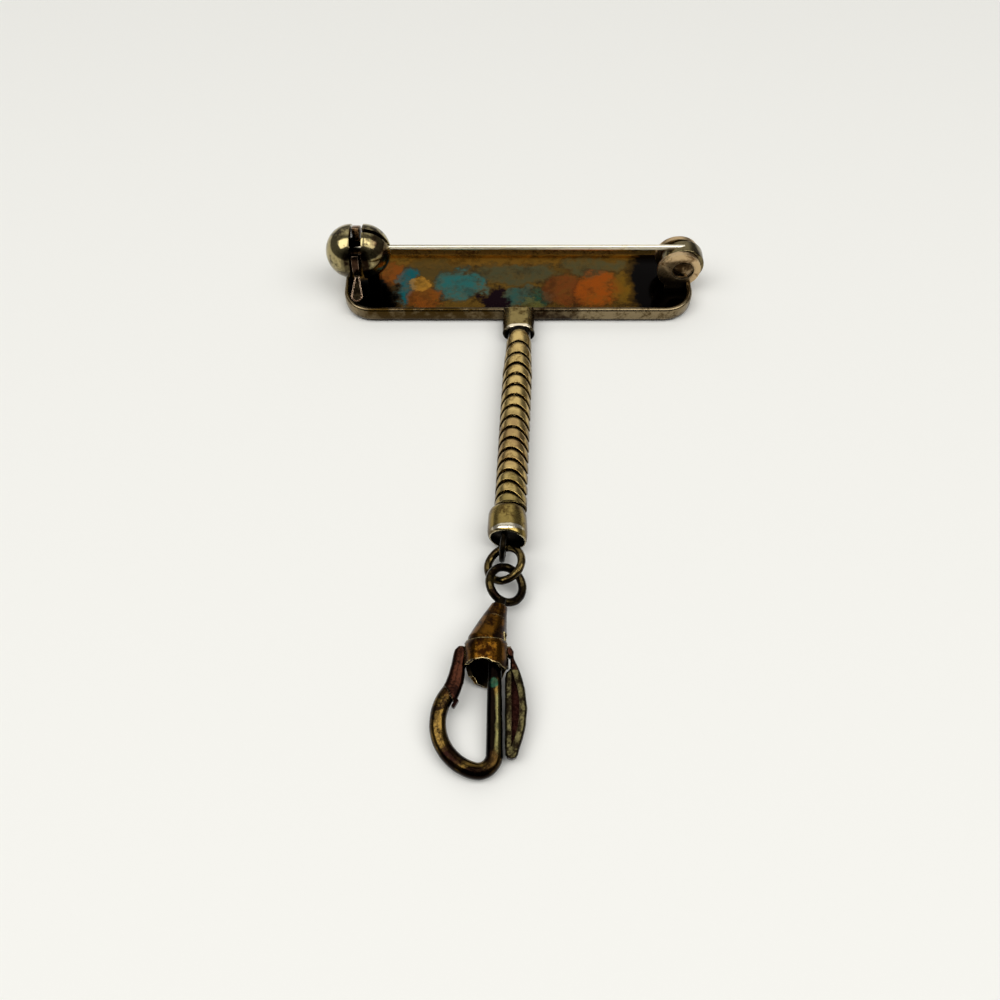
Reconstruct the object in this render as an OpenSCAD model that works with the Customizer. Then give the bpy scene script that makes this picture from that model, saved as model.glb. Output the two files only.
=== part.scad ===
// Chatelaine watch pin: a hollow bar brooch with a ball safety catch, a snake chain and a swivel clip.
// It lies on its front face, with its back and its pin upwards, and the clip towards -Y.
// Millimetres. Origin: centre of the bar's front face. +X runs along the bar to the hinge, +Z is up.

/* [Bar] */
// Length of the stamped bar
bar_length = 35; // [30:0.5:40]
// Width of the bar
bar_width = 9.6; // [9:0.1:11]
// Height of the folded wall above the front face
bar_height = 1.6; // [1.4:0.1:2]
// Corner radius seen from above
bar_corner = 3; // [2.4:0.1:4]
// Thickness of the sheet
sheet = 0.6; // [0.5:0.05:0.7]

/* [Pin stem and hinge] */
// Distance of the pin from the bar's middle line, towards the far edge
pin_y = 0.6; // [0:0.1:1]
// Height of the pin stem's axis above the front face
stem_z = 4.82; // [4.7:0.02:4.9]
// Stem diameter at the hinge
stem_d = 0.56; // [0.5:0.02:0.6]
// Stem diameter where the point begins
stem_tip_d = 0.38; // [0.3:0.02:0.42]
// Rivet axis along the bar
rivet_x = 16.45; // [16:0.05:16.6]
// Rivet axis height
rivet_z = 2.95; // [2.9:0.05:3.1]
// Rivet diameter
rivet_d = 1.2; // [1:0.1:1.3]
// Radius of the two round ears
ear_r = 2.15; // [2:0.05:2.3]
// Clear width between the ears
ear_gap = 1.75; // [1.6:0.05:1.9]
// Thickness of one ear
ear_sheet = 0.45; // [0.35:0.05:0.5]

/* [Ball catch] */
// Radius of each half ball
ball_r = 2.62; // [2.5:0.02:2.7]
// Height of the ball's centre
ball_z = 4.35; // [4.3:0.05:4.45]
// Inner face of the outer half ball
outer_face_x = -16.5; // [-16.6:0.05:-16.4]
// Width of the slot between the halves
ball_slot = 1.2; // [1.1:0.05:1.3]
// Thickness of the turning lock plate
lock_sheet = 0.7; // [0.6:0.05:0.75]
// Direction of the thumb tab, from +Y through +Z
tab_angle = 210; // [205:1:212]
// Reach of the thumb tab from the ball's centre
tab_reach = 5.15; // [5:0.05:5.2]

/* [Ferrule] */
// Width of the flattened tube on the bar's near wall
ferrule_w = 3.2; // [3:0.05:3.4]
// Height of the flattened tube
ferrule_h = 2.3; // [2.2:0.05:2.4]
// Thickness of its wall
ferrule_sheet = 0.35; // [0.3:0.05:0.4]
// Distance from the bar's middle line to the mouth
ferrule_reach = 7.7; // [7.5:0.1:7.9]

/* [Snake chain] */
// Diameter of the chain
chain_d = 2.8; // [2.6:0.05:2.8]
// Number of full scales
scales = 15; // [15:1:15]
// Pitch of the first scales, stretched near the bar
scale_pitch = 1.34; // [1.3:0.01:1.36]
// Loss of pitch along the chain, per scale squared
pitch_loss = 0.008; // [0.007:0.0005:0.009]
// Gap between two scales along the chain
scale_gap = 0.25; // [0.24:0.01:0.3]
// Radius of the arch of a scale's edge
arch_r = 1.54; // [1.5:0.02:1.7]
// Lean of the chain towards -X, degrees
chain_lean = 2.8; // [2.6:0.1:3]

/* [End cap] */
// Largest diameter of the cap
cap_d = 3.38; // [3.3:0.02:3.4]
// Length of the cap on its axis
cap_length = 2.95; // [2.9:0.05:3]
// Slant of its mouth, degrees
mouth_slant = 10; // [0:1:12]
// Mean radius of the wire loop in its mouth
loop_r = 1.14; // [1.12:0.01:1.15]
// Wire radius of that loop
loop_wire_r = 0.24; // [0.2:0.01:0.25]

/* [Jump ring and swivel eye] */
// Mean radius of the jump ring
ring_r = 1.53; // [1.5:0.01:1.55]
// Wire radius of the jump ring
ring_wire_r = 0.36; // [0.32:0.01:0.37]
// Mean radius of the swivel's eye
eye_r = 1.5; // [1.48:0.01:1.52]
// Wire radius of the eye
eye_wire_r = 0.36; // [0.32:0.01:0.37]
// Radius of the shank that turns in the barrel
shank_r = 0.45; // [0.4:0.01:0.46]

/* [Clip] */
// Lean of the swivel's axis towards -X, degrees
swivel_lean = 15.7; // [15:0.1:16]
// Outer radius of the collar
collar_r = 1.74; // [1.72:0.01:1.76]
// Inner radius of the collar
collar_bore_r = 1.42; // [1.4:0.01:1.44]
// Slope of the hook down to the surface it rests on, degrees
hook_slope = 7.9; // [7.8:0.1:8]
// Wire radius of the hook
hook_wire_r = 0.66; // [0.62:0.01:0.67]
// Wire radius where the straight arm enters the collar
arm_wire_r = 0.56; // [0.5:0.01:0.58]
// Centre-line radius of the hook's long curve
hook_r = 3.6; // [3.55:0.01:3.65]
// Centre-line radius of its tight curve at the bottom
foot_r = 1.2; // [1.15:0.01:1.25]
// Straight arm's distance from the gate's pivot, across
arm_x = 0.65; // [0.6:0.01:0.68]
// Half the thickness of the gate and its thumb lever
lever_half = 0.5; // [0.4:0.02:0.5]
// Radius of the gate's pivot pin
gate_pin_r = 0.3; // [0.25:0.01:0.32]

/* [Hidden] */
$fn = 48;
play = 0.04;

// Bar
edge_r = 0.5;
rim_r = sheet / 2;
strip = 1.2;
half_l = bar_length / 2 - bar_corner;
half_w = bar_width / 2 - bar_corner;

// Hinge
knuckle_r = stem_z + stem_d / 2 - rivet_z - 0.02;
knuckle_w = ear_gap - 0.2;
ear_x = rivet_x - 0.4;
rivet_head_r = 0.95;

// Ball catch
inner_face_x = outer_face_x + ball_slot;
lock_x = outer_face_x + 0.15 + lock_sheet / 2;
lock_r = ball_r - 0.15;
hub_r = 1.3;
seat_r = 1;
stem_slot = 0.5;
point_x = outer_face_x + 0.15;
point_length = 1.1;
stem_length = rivet_x - point_x - point_length;
tab_half = 0.54;
tab_end = tab_reach - 0.8;
stem_rise = stem_z - ball_z;

// Chain
chain_r = chain_d / 2;
chain_z = 1.42;
first_scale = 2.19;
second_scale_extra = 0.19;
chain_x = 0.06;
chain_climb = 0.95;
function scale_at(i) =
    first_scale + scale_pitch * i - pitch_loss * i * i + (i > 0 ? second_scale_extra : 0);
function scale_twist(i) = -2 - 1.6 * i;

// End cap, ring and eye
cap_pos = [-1.21, -28.28, 1.78];
chain_end = -cap_pos.y - ferrule_reach - 0.06;
cap_r = cap_d / 2;
cap_top_r = cap_r - 0.09;
cap_rim_r = cap_r - 0.06;
cap_round = 0.45;
cup_r = 1.4;
cup_floor = 2.4;
loop_pos = [-1.56, -31.83, 1.78];
loop_lean = 6;
ring_pos = [-1.46, -33.44, 1.68];
ring_tilt = [-3, -26];
eye_pos = [-1.34, -35.35, 1.7];
eye_roll = 28;
swivel_climb = 2.8;
neck_at = 2.05;
neck_r = 0.74;
hollow_at = 3.35;
groove_at = 5.6;

// Clip, in the hook's plane with the gate's pivot at its origin
pivot_pos = [-2.9, -41.3, 1.9];
collar_top = 0.75;
collar_mouth = -1.25;
lip_r = 1.4;
foot_y = -7.74;
foot_c = [arm_x - foot_r, foot_y];
hook_cx = 0.01;
hook_c = [hook_cx, foot_y + sqrt(pow(hook_r - foot_r, 2) - pow(hook_cx - foot_c.x, 2))];
hook_turn = atan2(foot_c.y - hook_c.y, foot_c.x - hook_c.x) + 360;
hook_tip = 134;
scarf_pos = [-2.88, -3.2];
scarf_angle = 31;
scarf_half_gap = 0.04;
shoulder_pos = [-1.93, -0.17];
shoulder_r = 0.62;
slot_half = lever_half + 0.08;
lever_c = [-4.45, -4.35];
lever_r = 7.6;
lever_inner = 1.4;
lever_clear = collar_r + 0.1;
lever_end = [1.93, -7.65];
lever_swing_r = norm([collar_r, collar_mouth]) + 0.06;

// Placing

// Chain frame: the chain runs along -Y from the ferrule's mouth
module in_chain() {
    translate([chain_x, -ferrule_reach, chain_z])
        rotate([0, 0, -chain_lean])
            rotate([-chain_climb, 0, 0])
                children();
}

// Swivel frame: the clip's axis runs along -Y from the middle of the eye
module in_swivel() {
    translate(eye_pos)
        rotate([0, 0, -swivel_lean])
            rotate([-swivel_climb, 0, 0])
                children();
}

// Hook frame: the gate's pivot is the origin and the hook lies in the XY plane
module in_hook() {
    translate(pivot_pos)
        rotate([hook_slope, 0, 0])
            children();
}

// A cylinder or cone along -Y, from y = -from to y = -to
module along(from, to, r1, r2) {
    translate([0, -from, 0])
        rotate([90, 0, 0])
            cylinder(h = to - from, r1 = r1, r2 = r2);
}

// A flat-sided tube section, w wide and h high, centred
module stadium(w, h) {
    square([w - h, h], center = true);
    translate([(w - h) / 2, 0]) circle(h / 2);
    translate([-(w - h) / 2, 0]) circle(h / 2);
}

// Bar

// Section of the folded wall: x outwards from the corner's centre, y up
module wall_section() {
    difference() {
        union() {
            translate([bar_corner - strip, 0]) square([strip - edge_r, sheet]);
            translate([bar_corner - edge_r, edge_r]) circle(edge_r);
            translate([bar_corner - sheet, edge_r]) square([sheet, bar_height - rim_r - edge_r]);
            translate([bar_corner - rim_r, bar_height - rim_r]) circle(rim_r);
        }
        translate([bar_corner - strip, sheet]) square([strip - sheet, bar_height]);
    }
}

module tray() {
    // Floor of the tray, which is the brooch's front
    translate([-half_l - bar_corner + 1, -half_w - bar_corner + 1, 0])
        cube([2 * (half_l + bar_corner - 1), 2 * (half_w + bar_corner - 1), sheet]);
    // Long and short walls
    for (side = [0, 1]) {
        mirror([0, side, 0])
            translate([-half_l, half_w, 0])
                rotate([90, 0, 90])
                    linear_extrude(2 * half_l) wall_section();
        mirror([side, 0, 0])
            translate([half_l, half_w, 0])
                rotate([90, 0, 0])
                    linear_extrude(2 * half_w) wall_section();
    }
    // Rounded corners
    for (i = [0:3])
        translate([(i == 0 || i == 3 ? 1 : -1) * half_l, (i < 2 ? 1 : -1) * half_w, 0])
            rotate([0, 0, 90 * i])
                rotate_extrude(angle = 90) wall_section();
}

// Two round ears soldered to the tray's floor and end wall
module hinge_ears() {
    for (side = [-1, 1])
        translate([0, pin_y + side * (ear_gap + ear_sheet) / 2, 0]) {
            translate([ear_x, ear_sheet / 2, rivet_z])
                rotate([90, 0, 0])
                    cylinder(h = ear_sheet, r = ear_r);
            translate([ear_x - 1.1, -ear_sheet / 2, sheet / 2])
                cube([2.3, ear_sheet, 1.2]);
        }
}

// The half balls, their feet, the slot in the inner one for the stem, and the hub's recesses
module ball_halves() {
    difference() {
        union() {
            half_ball(outer_face_x, -1);
            half_ball(inner_face_x, 1);
            // Feet soldered to the end wall and to the floor
            translate([outer_face_x - 1, pin_y - 0.9, sheet / 2]) cube([1, 1.8, 2.2]);
            translate([inner_face_x, pin_y - 0.8, sheet / 2]) cube([1.3, 1.6, 2.2]);
        }
        translate([inner_face_x - 0.5, pin_y, stem_z - stem_slot / 2]) {
            translate([0, -stem_slot / 2, 0]) cube([8, stem_slot, 8]);
            rotate([0, 90, 0]) cylinder(h = 8, r = stem_slot / 2);
        }
        translate([outer_face_x - 0.4, pin_y, ball_z])
            rotate([0, 90, 0])
                cylinder(h = ball_slot + 0.8, r = hub_r + play + 0.01);
    }
}

module half_ball(face_x, side) {
    intersection() {
        translate([face_x, pin_y, ball_z]) sphere(ball_r, $fn = 64);
        translate([side < 0 ? face_x - 4 : face_x, pin_y - 4, ball_z - 4]) cube([4, 8, 8]);
    }
}

// Flattened tube on the near wall, cut at a slant where the solder runs up from the rim
module ferrule() {
    translate([0, 0, ferrule_h / 2 + 0.03])
        rotate([90, 0, 0])
            difference() {
                translate([0, 0, bar_width / 2 - sheet])
                    linear_extrude(ferrule_reach - bar_width / 2 + sheet) stadium(ferrule_w, ferrule_h);
                translate([0, 0, bar_width / 2 + 0.4])
                    linear_extrude(ferrule_reach)
                        stadium(ferrule_w - 2 * ferrule_sheet, ferrule_h - 2 * ferrule_sheet);
                // Slanted back end
                translate([-3, 0.2, bar_width / 2 - 2.05])
                    rotate([-45, 0, 0])
                        cube([6, 3, 2]);
            }
}

module bar() {
    color("#8a7c4e")
        difference() {
            union() {
                tray();
                hinge_ears();
                ball_halves();
                ferrule();
            }
            // Relief for the knuckle in the end wall
            translate([rivet_x, pin_y + ear_gap / 2, rivet_z])
                rotate([90, 0, 0])
                    cylinder(h = ear_gap, r = knuckle_r + 0.15);
            // Bore of the riveted ears, countersunk around the rivet's heads
            translate([rivet_x, pin_y + 3, rivet_z])
                rotate([90, 0, 0])
                    cylinder(h = 6, r = rivet_d / 2 + 0.02);
            for (side = [-1, 1])
                translate([rivet_x, pin_y + side * (ear_gap / 2 + ear_sheet + 0.35), rivet_z])
                    rotate([90, 0, 0])
                        cylinder(h = 1, r = rivet_head_r + 0.15, center = true);
        }
}

// Pin stem

module pin_stem() {
    color("#a39b78")
        difference() {
            union() {
                // Knuckle between the ears
                translate([rivet_x, pin_y + knuckle_w / 2, rivet_z])
                    rotate([90, 0, 0])
                        cylinder(h = knuckle_w, r = knuckle_r);
                // Tapered stem and its point
                translate([rivet_x, pin_y, stem_z])
                    rotate([0, -90, 0])
                        cylinder(h = stem_length, r1 = stem_d / 2, r2 = stem_tip_d / 2);
                translate([point_x + point_length, pin_y, stem_z])
                    rotate([0, -90, 0])
                        cylinder(h = point_length, r1 = stem_tip_d / 2, r2 = 0.05);
            }
            translate([rivet_x, pin_y + 3, rivet_z])
                rotate([90, 0, 0])
                    cylinder(h = 6, r = rivet_d / 2 + play);
        }
}

module hinge_rivet() {
    color("#978b66")
        translate([rivet_x, pin_y, rivet_z])
            rotate([90, 0, 0]) {
                cylinder(h = ear_gap + 2 * ear_sheet, r = rivet_d / 2, center = true);
                // Low domed heads in the countersinks
                for (side = [0, 1])
                    mirror([0, 0, side])
                        translate([0, 0, ear_gap / 2 + ear_sheet - 0.13])
                            intersection() {
                                cylinder(h = 0.4, r = rivet_head_r);
                                translate([0, 0, 0.3 - 1.75]) sphere(1.75);
                            }
            }
}

// Turning lock of the ball catch: a notched plate with a hub on each side and a thumb tab

module catch_lock() {
    color("#6e5233")
        translate([lock_x, pin_y, ball_z])
            rotate([90, 0, 90]) {
                difference() {
                    union() {
                        cylinder(h = lock_sheet, r = lock_r, center = true);
                        translate([0, 0, outer_face_x - 0.35 - lock_x])
                            cylinder(h = ball_slot + 0.7, r = hub_r);
                        thumb_tab();
                    }
                    cylinder(h = 6, r = seat_r, center = true);
                    linear_extrude(6, center = true)
                        polygon([[0.45, 0], [0.45, 4], [-4, 4], [4 * cos(150), 4 * sin(150)], [0, 0]]);
                }
            }
}

// Teardrop tab: broad across the plate, dished towards the thumb
module thumb_tab() {
    rotate([0, 0, tab_angle])
        rotate([90, 0, 0])
            difference() {
                linear_extrude(0.42, center = true) {
                    translate([1, -0.2]) square([2.6, 0.4]);
                    translate([tab_reach - 0.58, 0]) circle(0.58);
                    polygon([[2.45, -0.24], [2.45, 0.24], [tab_end, tab_half], [tab_end, -tab_half]]);
                }
                translate([tab_reach - 0.7, 0, -0.45]) sphere(0.42);
            }
}

// Snake chain: arched scales, each a piece of tube between two arched cuts

module scale_edge(at) {
    translate([0, -at - arch_r])
        circle(arch_r);
}

module scale_tube(from, to, r, wall) {
    difference() {
        along(from, to, r, r);
        along(from - 1, to + 1, r - wall, r - wall);
    }
}

module chain_scale(i) {
    last = i == scales - 1;
    r = i == 0 ? chain_r - 0.1 : chain_r;
    far = last ? chain_end : scale_at(i + 1) + 2;
    intersection() {
        scale_tube(scale_at(i) - 0.5, far, r, 0.45);
        rotate([0, scale_twist(i), 0])
            linear_extrude(4 * chain_r, center = true)
                difference() {
                    scale_edge(scale_at(i));
                    if (!last) scale_edge(scale_at(i + 1) - scale_gap);
                }
    }
}

// Narrow first scale and the crimped tail inside the ferrule
module chain_tail() {
    difference() {
        union() {
            translate([0, 0, ferrule_h / 2 + 0.03 - chain_z])
                rotate([90, 0, 0])
                    translate([0, 0, -2])
                        linear_extrude(2.2)
                            stadium(2.1, 1.2);
            along(0.08, first_scale + 1, 1.1, 1.1);
        }
        linear_extrude(8, center = true) scale_edge(first_scale - scale_gap);
    }
}

module snake_chain() {
    color("#958554")
        in_chain() {
            chain_tail();
            for (i = [0:scales - 1]) chain_scale(i);
        }
}

// End cap with its open cup and wire loop

module end_cap() {
    color("#9a8450") {
        translate(cap_pos)
            difference() {
                rotate([90, 0, 0])
                    rotate_extrude()
                        difference() {
                            intersection() {
                                union() {
                                    polygon([
                                        [0, 0],
                                        [cap_top_r - cap_round, 0],
                                        [cap_top_r, cap_round],
                                        [cap_r, cap_length / 2],
                                        [cap_rim_r, cap_length + 0.4],
                                        [0, cap_length + 0.4]
                                    ]);
                                    translate([cap_top_r - cap_round, cap_round]) circle(cap_round);
                                }
                                square([cap_r, 2 * cap_length]);
                            }
                            translate([0, cup_floor]) square([cup_r, cap_length]);
                        }
                // Slanted mouth
                translate([0, -cap_length, 0])
                    rotate([0, 0, -mouth_slant])
                        translate([-4, -6, -4])
                            cube([8, 6, 8]);
            }
        translate(loop_pos)
            rotate([0, 0, -loop_lean])
                rotate([0, 90, 0])
                    rotate_extrude() translate([loop_r, 0]) circle(loop_wire_r, $fn = 24);
    }
}

// Split jump ring
module jump_ring() {
    color("#8f8046")
        translate(ring_pos)
            rotate([ring_tilt[0], 0, 0])
                rotate([0, ring_tilt[1], 0])
                    difference() {
                        rotate_extrude() translate([ring_r, 0]) circle(ring_wire_r, $fn = 24);
                        rotate([0, 0, 74])
                            translate([ring_r, 0, 0])
                                rotate([0, 0, 20])
                                    cube([2, 0.06, 2], center = true);
                    }
}

// Eye with the headed shank that turns in the barrel
module swivel_eye() {
    color("#7d6a38")
        in_swivel() {
            rotate([0, eye_roll, 0])
                rotate_extrude() translate([eye_r, 0]) circle(eye_wire_r, $fn = 24);
            along(eye_r - 0.1, hollow_at + 0.4, shank_r, shank_r);
            along(hollow_at + 0.06, hollow_at + 0.5, 0.75, 0.6);
        }
}

// Clip

// Half space on one side of the slanted joint between the hook's tip and the gate
module scarf_side(side) {
    translate(scarf_pos)
        rotate([0, 0, scarf_angle])
            translate([side > 0 ? scarf_half_gap : -10 - scarf_half_gap, -5, -5])
                cube(10);
}

// Bent round wire: long curve, tight curve at the bottom and straight arm
module hook_wire() {
    difference() {
        translate([hook_c.x, hook_c.y, 0])
            rotate([0, 0, hook_tip])
                rotate_extrude(angle = hook_turn - hook_tip)
                    translate([hook_r, 0]) circle(hook_wire_r, $fn = 32);
        intersection() {
            scarf_side(1);
            translate([-5, -4, -2]) cube([5, 4, 4]);
        }
    }
    // The tight curve is a little thinner, and its ends lie inside its neighbours
    translate([foot_c.x, foot_c.y, 0])
        rotate([0, 0, hook_turn - 3])
            rotate_extrude(angle = 366 - hook_turn)
                translate([foot_r, 0]) circle(hook_wire_r - 0.02, $fn = 32);
    translate([arm_x, 0, 0]) along(0.85, -foot_y, arm_wire_r, hook_wire_r);
}

// Lower wall of the collar, drawn out over the hook's root
module collar_lip() {
    intersection() {
        difference() {
            along(0.6, 2.9, collar_r - 0.12, lip_r);
            along(0.5, 3, collar_r - 0.47, lip_r - 0.35);
        }
        translate([0, 0, -2])
            linear_extrude(2 - lever_half - 0.2)
                polygon([[-1.4, -0.6], [-1.4, -1.8], [-1.05, -2.25], [-0.3, -2.45], [0.5, -2.6],
                    [1, -2.5], [1.4, -2], [1.4, -0.6]]);
    }
}

module clip_body() {
    color("#6b5430")
        difference() {
            union() {
                // Tapered barrel on the swivel's axis, and the collar in the hook's plane
                in_swivel() {
                    along(neck_at, groove_at, neck_r, collar_r - 0.08);
                    translate([0, -groove_at, 0]) sphere(collar_r - 0.12);
                }
                in_hook() along(-collar_top, -collar_mouth, collar_r, collar_r);
            }
            in_swivel() {
                along(neck_at - 1, hollow_at + 0.5, shank_r + play, shank_r + play);
                along(hollow_at, groove_at, 0.85, collar_bore_r - 0.1);
                translate([0, -groove_at, 0]) sphere(collar_bore_r - 0.13);
            }
            in_hook() {
                along(-0.5, 3, collar_bore_r, collar_bore_r);
                // Window for the thumb lever and notch for the gate
                translate([1, -0.6, -slot_half]) cube([1.4, 1.95, 2 * slot_half]);
                translate([-2.4, -1.6, -slot_half]) cube([1.4, 2.2, 2 * slot_half]);
                cylinder(h = 5, r = gate_pin_r + 0.01, center = true);
            }
        }
    color("#7c6436")
        in_hook() {
            hook_wire();
            collar_lip();
            // Root that solders the arm to the collar's wall
            intersection() {
                translate([arm_x - 0.4, -1.2, -1.6]) cube([0.8, 0.45, 1.5]);
                along(0, 2, collar_bore_r + 0.1, collar_bore_r + 0.1);
            }
        }
}

// One piece: gate on the left, cross bar through the collar, hollow thumb lever on the right

module gate_plan() {
    translate(shoulder_pos) circle(shoulder_r);
    polygon([
        [shoulder_pos.x - shoulder_r, shoulder_pos.y],
        [-2.69, -1.02],
        [-3.11, -2.42],
        [-3.5, -3.1],
        [-2.45, -4.15],
        [-2.2, -3.85],
        [-1.67, -2.42],
        [-1.54, -1.02],
        [shoulder_pos.x + 0.5, shoulder_pos.y]
    ]);
}

module lever_plan() {
    difference() {
        translate(lever_c) circle(lever_r, $fn = 96);
        translate([lever_clear - 20, collar_mouth - 0.1]) square([20, 20]);
        translate([lever_inner - 20, -20]) square([20, 40]);
        translate([0, lever_end.y - 20]) square([20, 20]);
        // Room to swing past the collar's mouth
        intersection() {
            circle(lever_swing_r);
            translate([lever_clear - 20, -10]) square([20, 20]);
        }
    }
    translate(lever_end) circle(0.53);
    translate([1.75, -0.02]) circle(0.42);
}

module lever_trough() {
    difference() {
        translate(lever_c) circle(lever_r - 0.62, $fn = 96);
        translate([lever_inner + 0.5 - 20, -20]) square([20, 40]);
    }
}

module gate_lever() {
    color("#5c3826")
        in_hook() {
            difference() {
                union() {
                    intersection() {
                        linear_extrude(2 * lever_half, center = true) gate_plan();
                        scarf_side(1);
                    }
                    linear_extrude(2 * lever_half, center = true) lever_plan();
                    translate([shoulder_pos.x, -0.33, -0.4]) cube([1.9 - shoulder_pos.x, 0.66, 0.8]);
                    cylinder(h = 1.1, r = 0.75, center = true);
                }
                translate([0, 0, -0.2]) linear_extrude(2) lever_trough();
                cylinder(h = 5, r = gate_pin_r + play, center = true);
            }
            // Nib that laps the inside of the hook's tip
            translate([hook_c.x, hook_c.y, -0.35])
                rotate([0, 0, 141])
                    rotate_extrude(angle = 17)
                        translate([hook_r - hook_wire_r - 0.38, 0])
                            square([0.3, 0.7]);
        }
}

module gate_pin() {
    color("#4d3c28")
        in_hook()
            cylinder(h = 2 * (collar_r - 0.04), r = gate_pin_r, center = true);
}

bar();
pin_stem();
hinge_rivet();
catch_lock();
snake_chain();
end_cap();
jump_ring();
swivel_eye();
clip_body();
gate_lever();
gate_pin();
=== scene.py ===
"""Looks of an antique chatelaine watch pin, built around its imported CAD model.

Gilt brass about a century old: a hollow bar seen from its back, with a hinged pin and a ball
safety catch, and a snake chain with a swivel clip. Pieces are shaped in millimetres, each in its
own frame, and placed in metres in the CAD's frame.
"""

from __future__ import annotations

import logging
import math
from dataclasses import dataclass
from enum import Enum
from functools import partial
from typing import Callable, Iterable, Sequence

import bmesh
import bpy
from mathutils import Matrix, Vector, noise


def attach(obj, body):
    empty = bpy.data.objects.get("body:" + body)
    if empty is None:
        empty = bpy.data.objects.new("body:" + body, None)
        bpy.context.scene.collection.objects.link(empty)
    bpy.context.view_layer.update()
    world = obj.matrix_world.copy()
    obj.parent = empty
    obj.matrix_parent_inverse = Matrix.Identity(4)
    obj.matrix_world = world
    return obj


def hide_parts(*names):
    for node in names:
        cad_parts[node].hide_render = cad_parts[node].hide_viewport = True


log = logging.getLogger("watch_pin")
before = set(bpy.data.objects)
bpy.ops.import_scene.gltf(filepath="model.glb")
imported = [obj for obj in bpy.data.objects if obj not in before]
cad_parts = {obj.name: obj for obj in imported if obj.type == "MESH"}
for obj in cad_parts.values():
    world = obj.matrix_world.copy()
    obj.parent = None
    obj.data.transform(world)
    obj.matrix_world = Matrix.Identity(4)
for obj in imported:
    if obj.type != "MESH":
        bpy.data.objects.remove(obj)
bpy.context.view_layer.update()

MM = 0.001
SMOOTH = {"interpolation_type": "SMOOTHSTEP"}
Point = tuple[float, float, float]
Row = tuple[float, float, float]
Socket = bpy.types.NodeSocket
Geometry = list[bmesh.types.BMVert | bmesh.types.BMEdge]


class Axis(Enum):
    """A coordinate axis, as Matrix.Rotation names it."""

    X = "X"
    Y = "Y"
    Z = "Z"


class Join(Enum):
    """What a second shape does to the one on the bench."""

    CARVE = "DIFFERENCE"
    FUSE = "UNION"


def frame_at(origin: Point, *turns: tuple[Axis, float]) -> Matrix:
    """A piece's own frame, as part.scad places it.

    Args:
        origin: its place in millimetres.
        turns: turns about its own axes in degrees, in order.

    Returns:
        The matrix from the piece's frame to the CAD's, in millimetres.
    """
    matrix = Matrix.Translation(origin)
    for axis, degrees in turns:
        matrix = matrix @ Matrix.Rotation(math.radians(degrees), 4, axis.value)
    return matrix


WORLD = Matrix()
CHAIN = frame_at((0.06, -7.7, 1.42), (Axis.Z, -2.8), (Axis.X, -0.95))
CAP = frame_at((-1.21, -28.28, 1.78))
LOOP = frame_at((-1.56, -31.83, 1.78), (Axis.Z, -6), (Axis.Y, 90))
RING = frame_at((-1.46, -33.44, 1.68), (Axis.X, -3), (Axis.Y, -26))
SWIVEL = frame_at((-1.34, -35.35, 1.7), (Axis.Z, -15.7), (Axis.X, -2.8))
EYE = SWIVEL @ frame_at((0, 0, 0), (Axis.Y, 28))
HOOK = frame_at((-2.9, -41.3, 1.9), (Axis.X, 7.9))
# The slanted joint between the hook's tip and the gate, and the nib behind it, in the hook's frame
SCARF = frame_at((-2.88, -3.2, 0), (Axis.Z, 31))
SCARF_GAP = 0.04
NIB = frame_at((-2.32, -4.0, 0), (Axis.Z, 149.5))
# Driving places of the brooch: the pin's line, the hinge's axis and the ball's middle
PIN_Y = 0.6
STEM_Z = 4.82
HINGE = (16.45, PIN_Y, 2.95)
BALL_Z = 4.35


def linear(hex_colour: str) -> tuple[float, float, float, float]:
    """Turns an sRGB hex colour to linear RGBA.

    Args:
        hex_colour: six hex digits.

    Returns:
        Red, green, blue and an alpha of 1.
    """
    channels = []
    for start in (0, 2, 4):
        value = int(hex_colour[start:start + 2], 16) / 255
        channels.append(value / 12.92 if value <= 0.04045 else ((value + 0.055) / 1.055) ** 2.4)
    return (*channels, 1.0)


def put(name: str, data: bpy.types.ID) -> bpy.types.Object:
    """Puts an object into the scene.

    Args:
        name: its name.
        data: its mesh, light or camera.

    Returns:
        The new object.
    """
    thing = bpy.data.objects.new(name, data)
    bpy.context.scene.collection.objects.link(thing)
    return thing


def within(value: float) -> float:
    """A share held between 0 and 1."""
    return min(max(value, 0.0), 1.0)


# Finishes


def add_node(tree: bpy.types.NodeTree, kind: str, *values: object, out: str = "",
             **settings: object) -> Socket:
    """Adds one node with its settings and links.

    Args:
        tree: the tree that it goes into.
        kind: its type, without ShaderNode.
        values: number, hex colour or other node's output for each input in use, None to pass one over.
        out: the wanted output's name, empty for the first one in use.
        settings: attributes of the node.

    Returns:
        The wanted output.
    """
    node = tree.nodes.new(f"ShaderNode{kind}")
    for name, value in settings.items():
        setattr(node, name, value)
    for socket, value in zip([socket for socket in node.inputs if socket.enabled], values):
        if isinstance(value, Socket):
            tree.links.new(value, socket)
        elif value is not None:
            socket.default_value = linear(value) if isinstance(value, str) else value
    return node.outputs[out] if out else next(socket for socket in node.outputs if socket.enabled)


@dataclass(frozen=True)
class Tint:
    """A patch in a finish, an upright oval column: mostly tarnish with its own interference colour, some
    painted shade and painted highlights.

    Attributes:
        x, y: centre in millimetres.
        rx, ry: half sizes in millimetres.
        colour: sRGB hex.
        strength: how much of the colour shows at the centre.
        gloss: how much of the roughness the patch takes away, 0 to 1.
    """

    x: float
    y: float
    rx: float
    ry: float
    colour: str
    strength: float = 0.9
    gloss: float = 0.0


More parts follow.
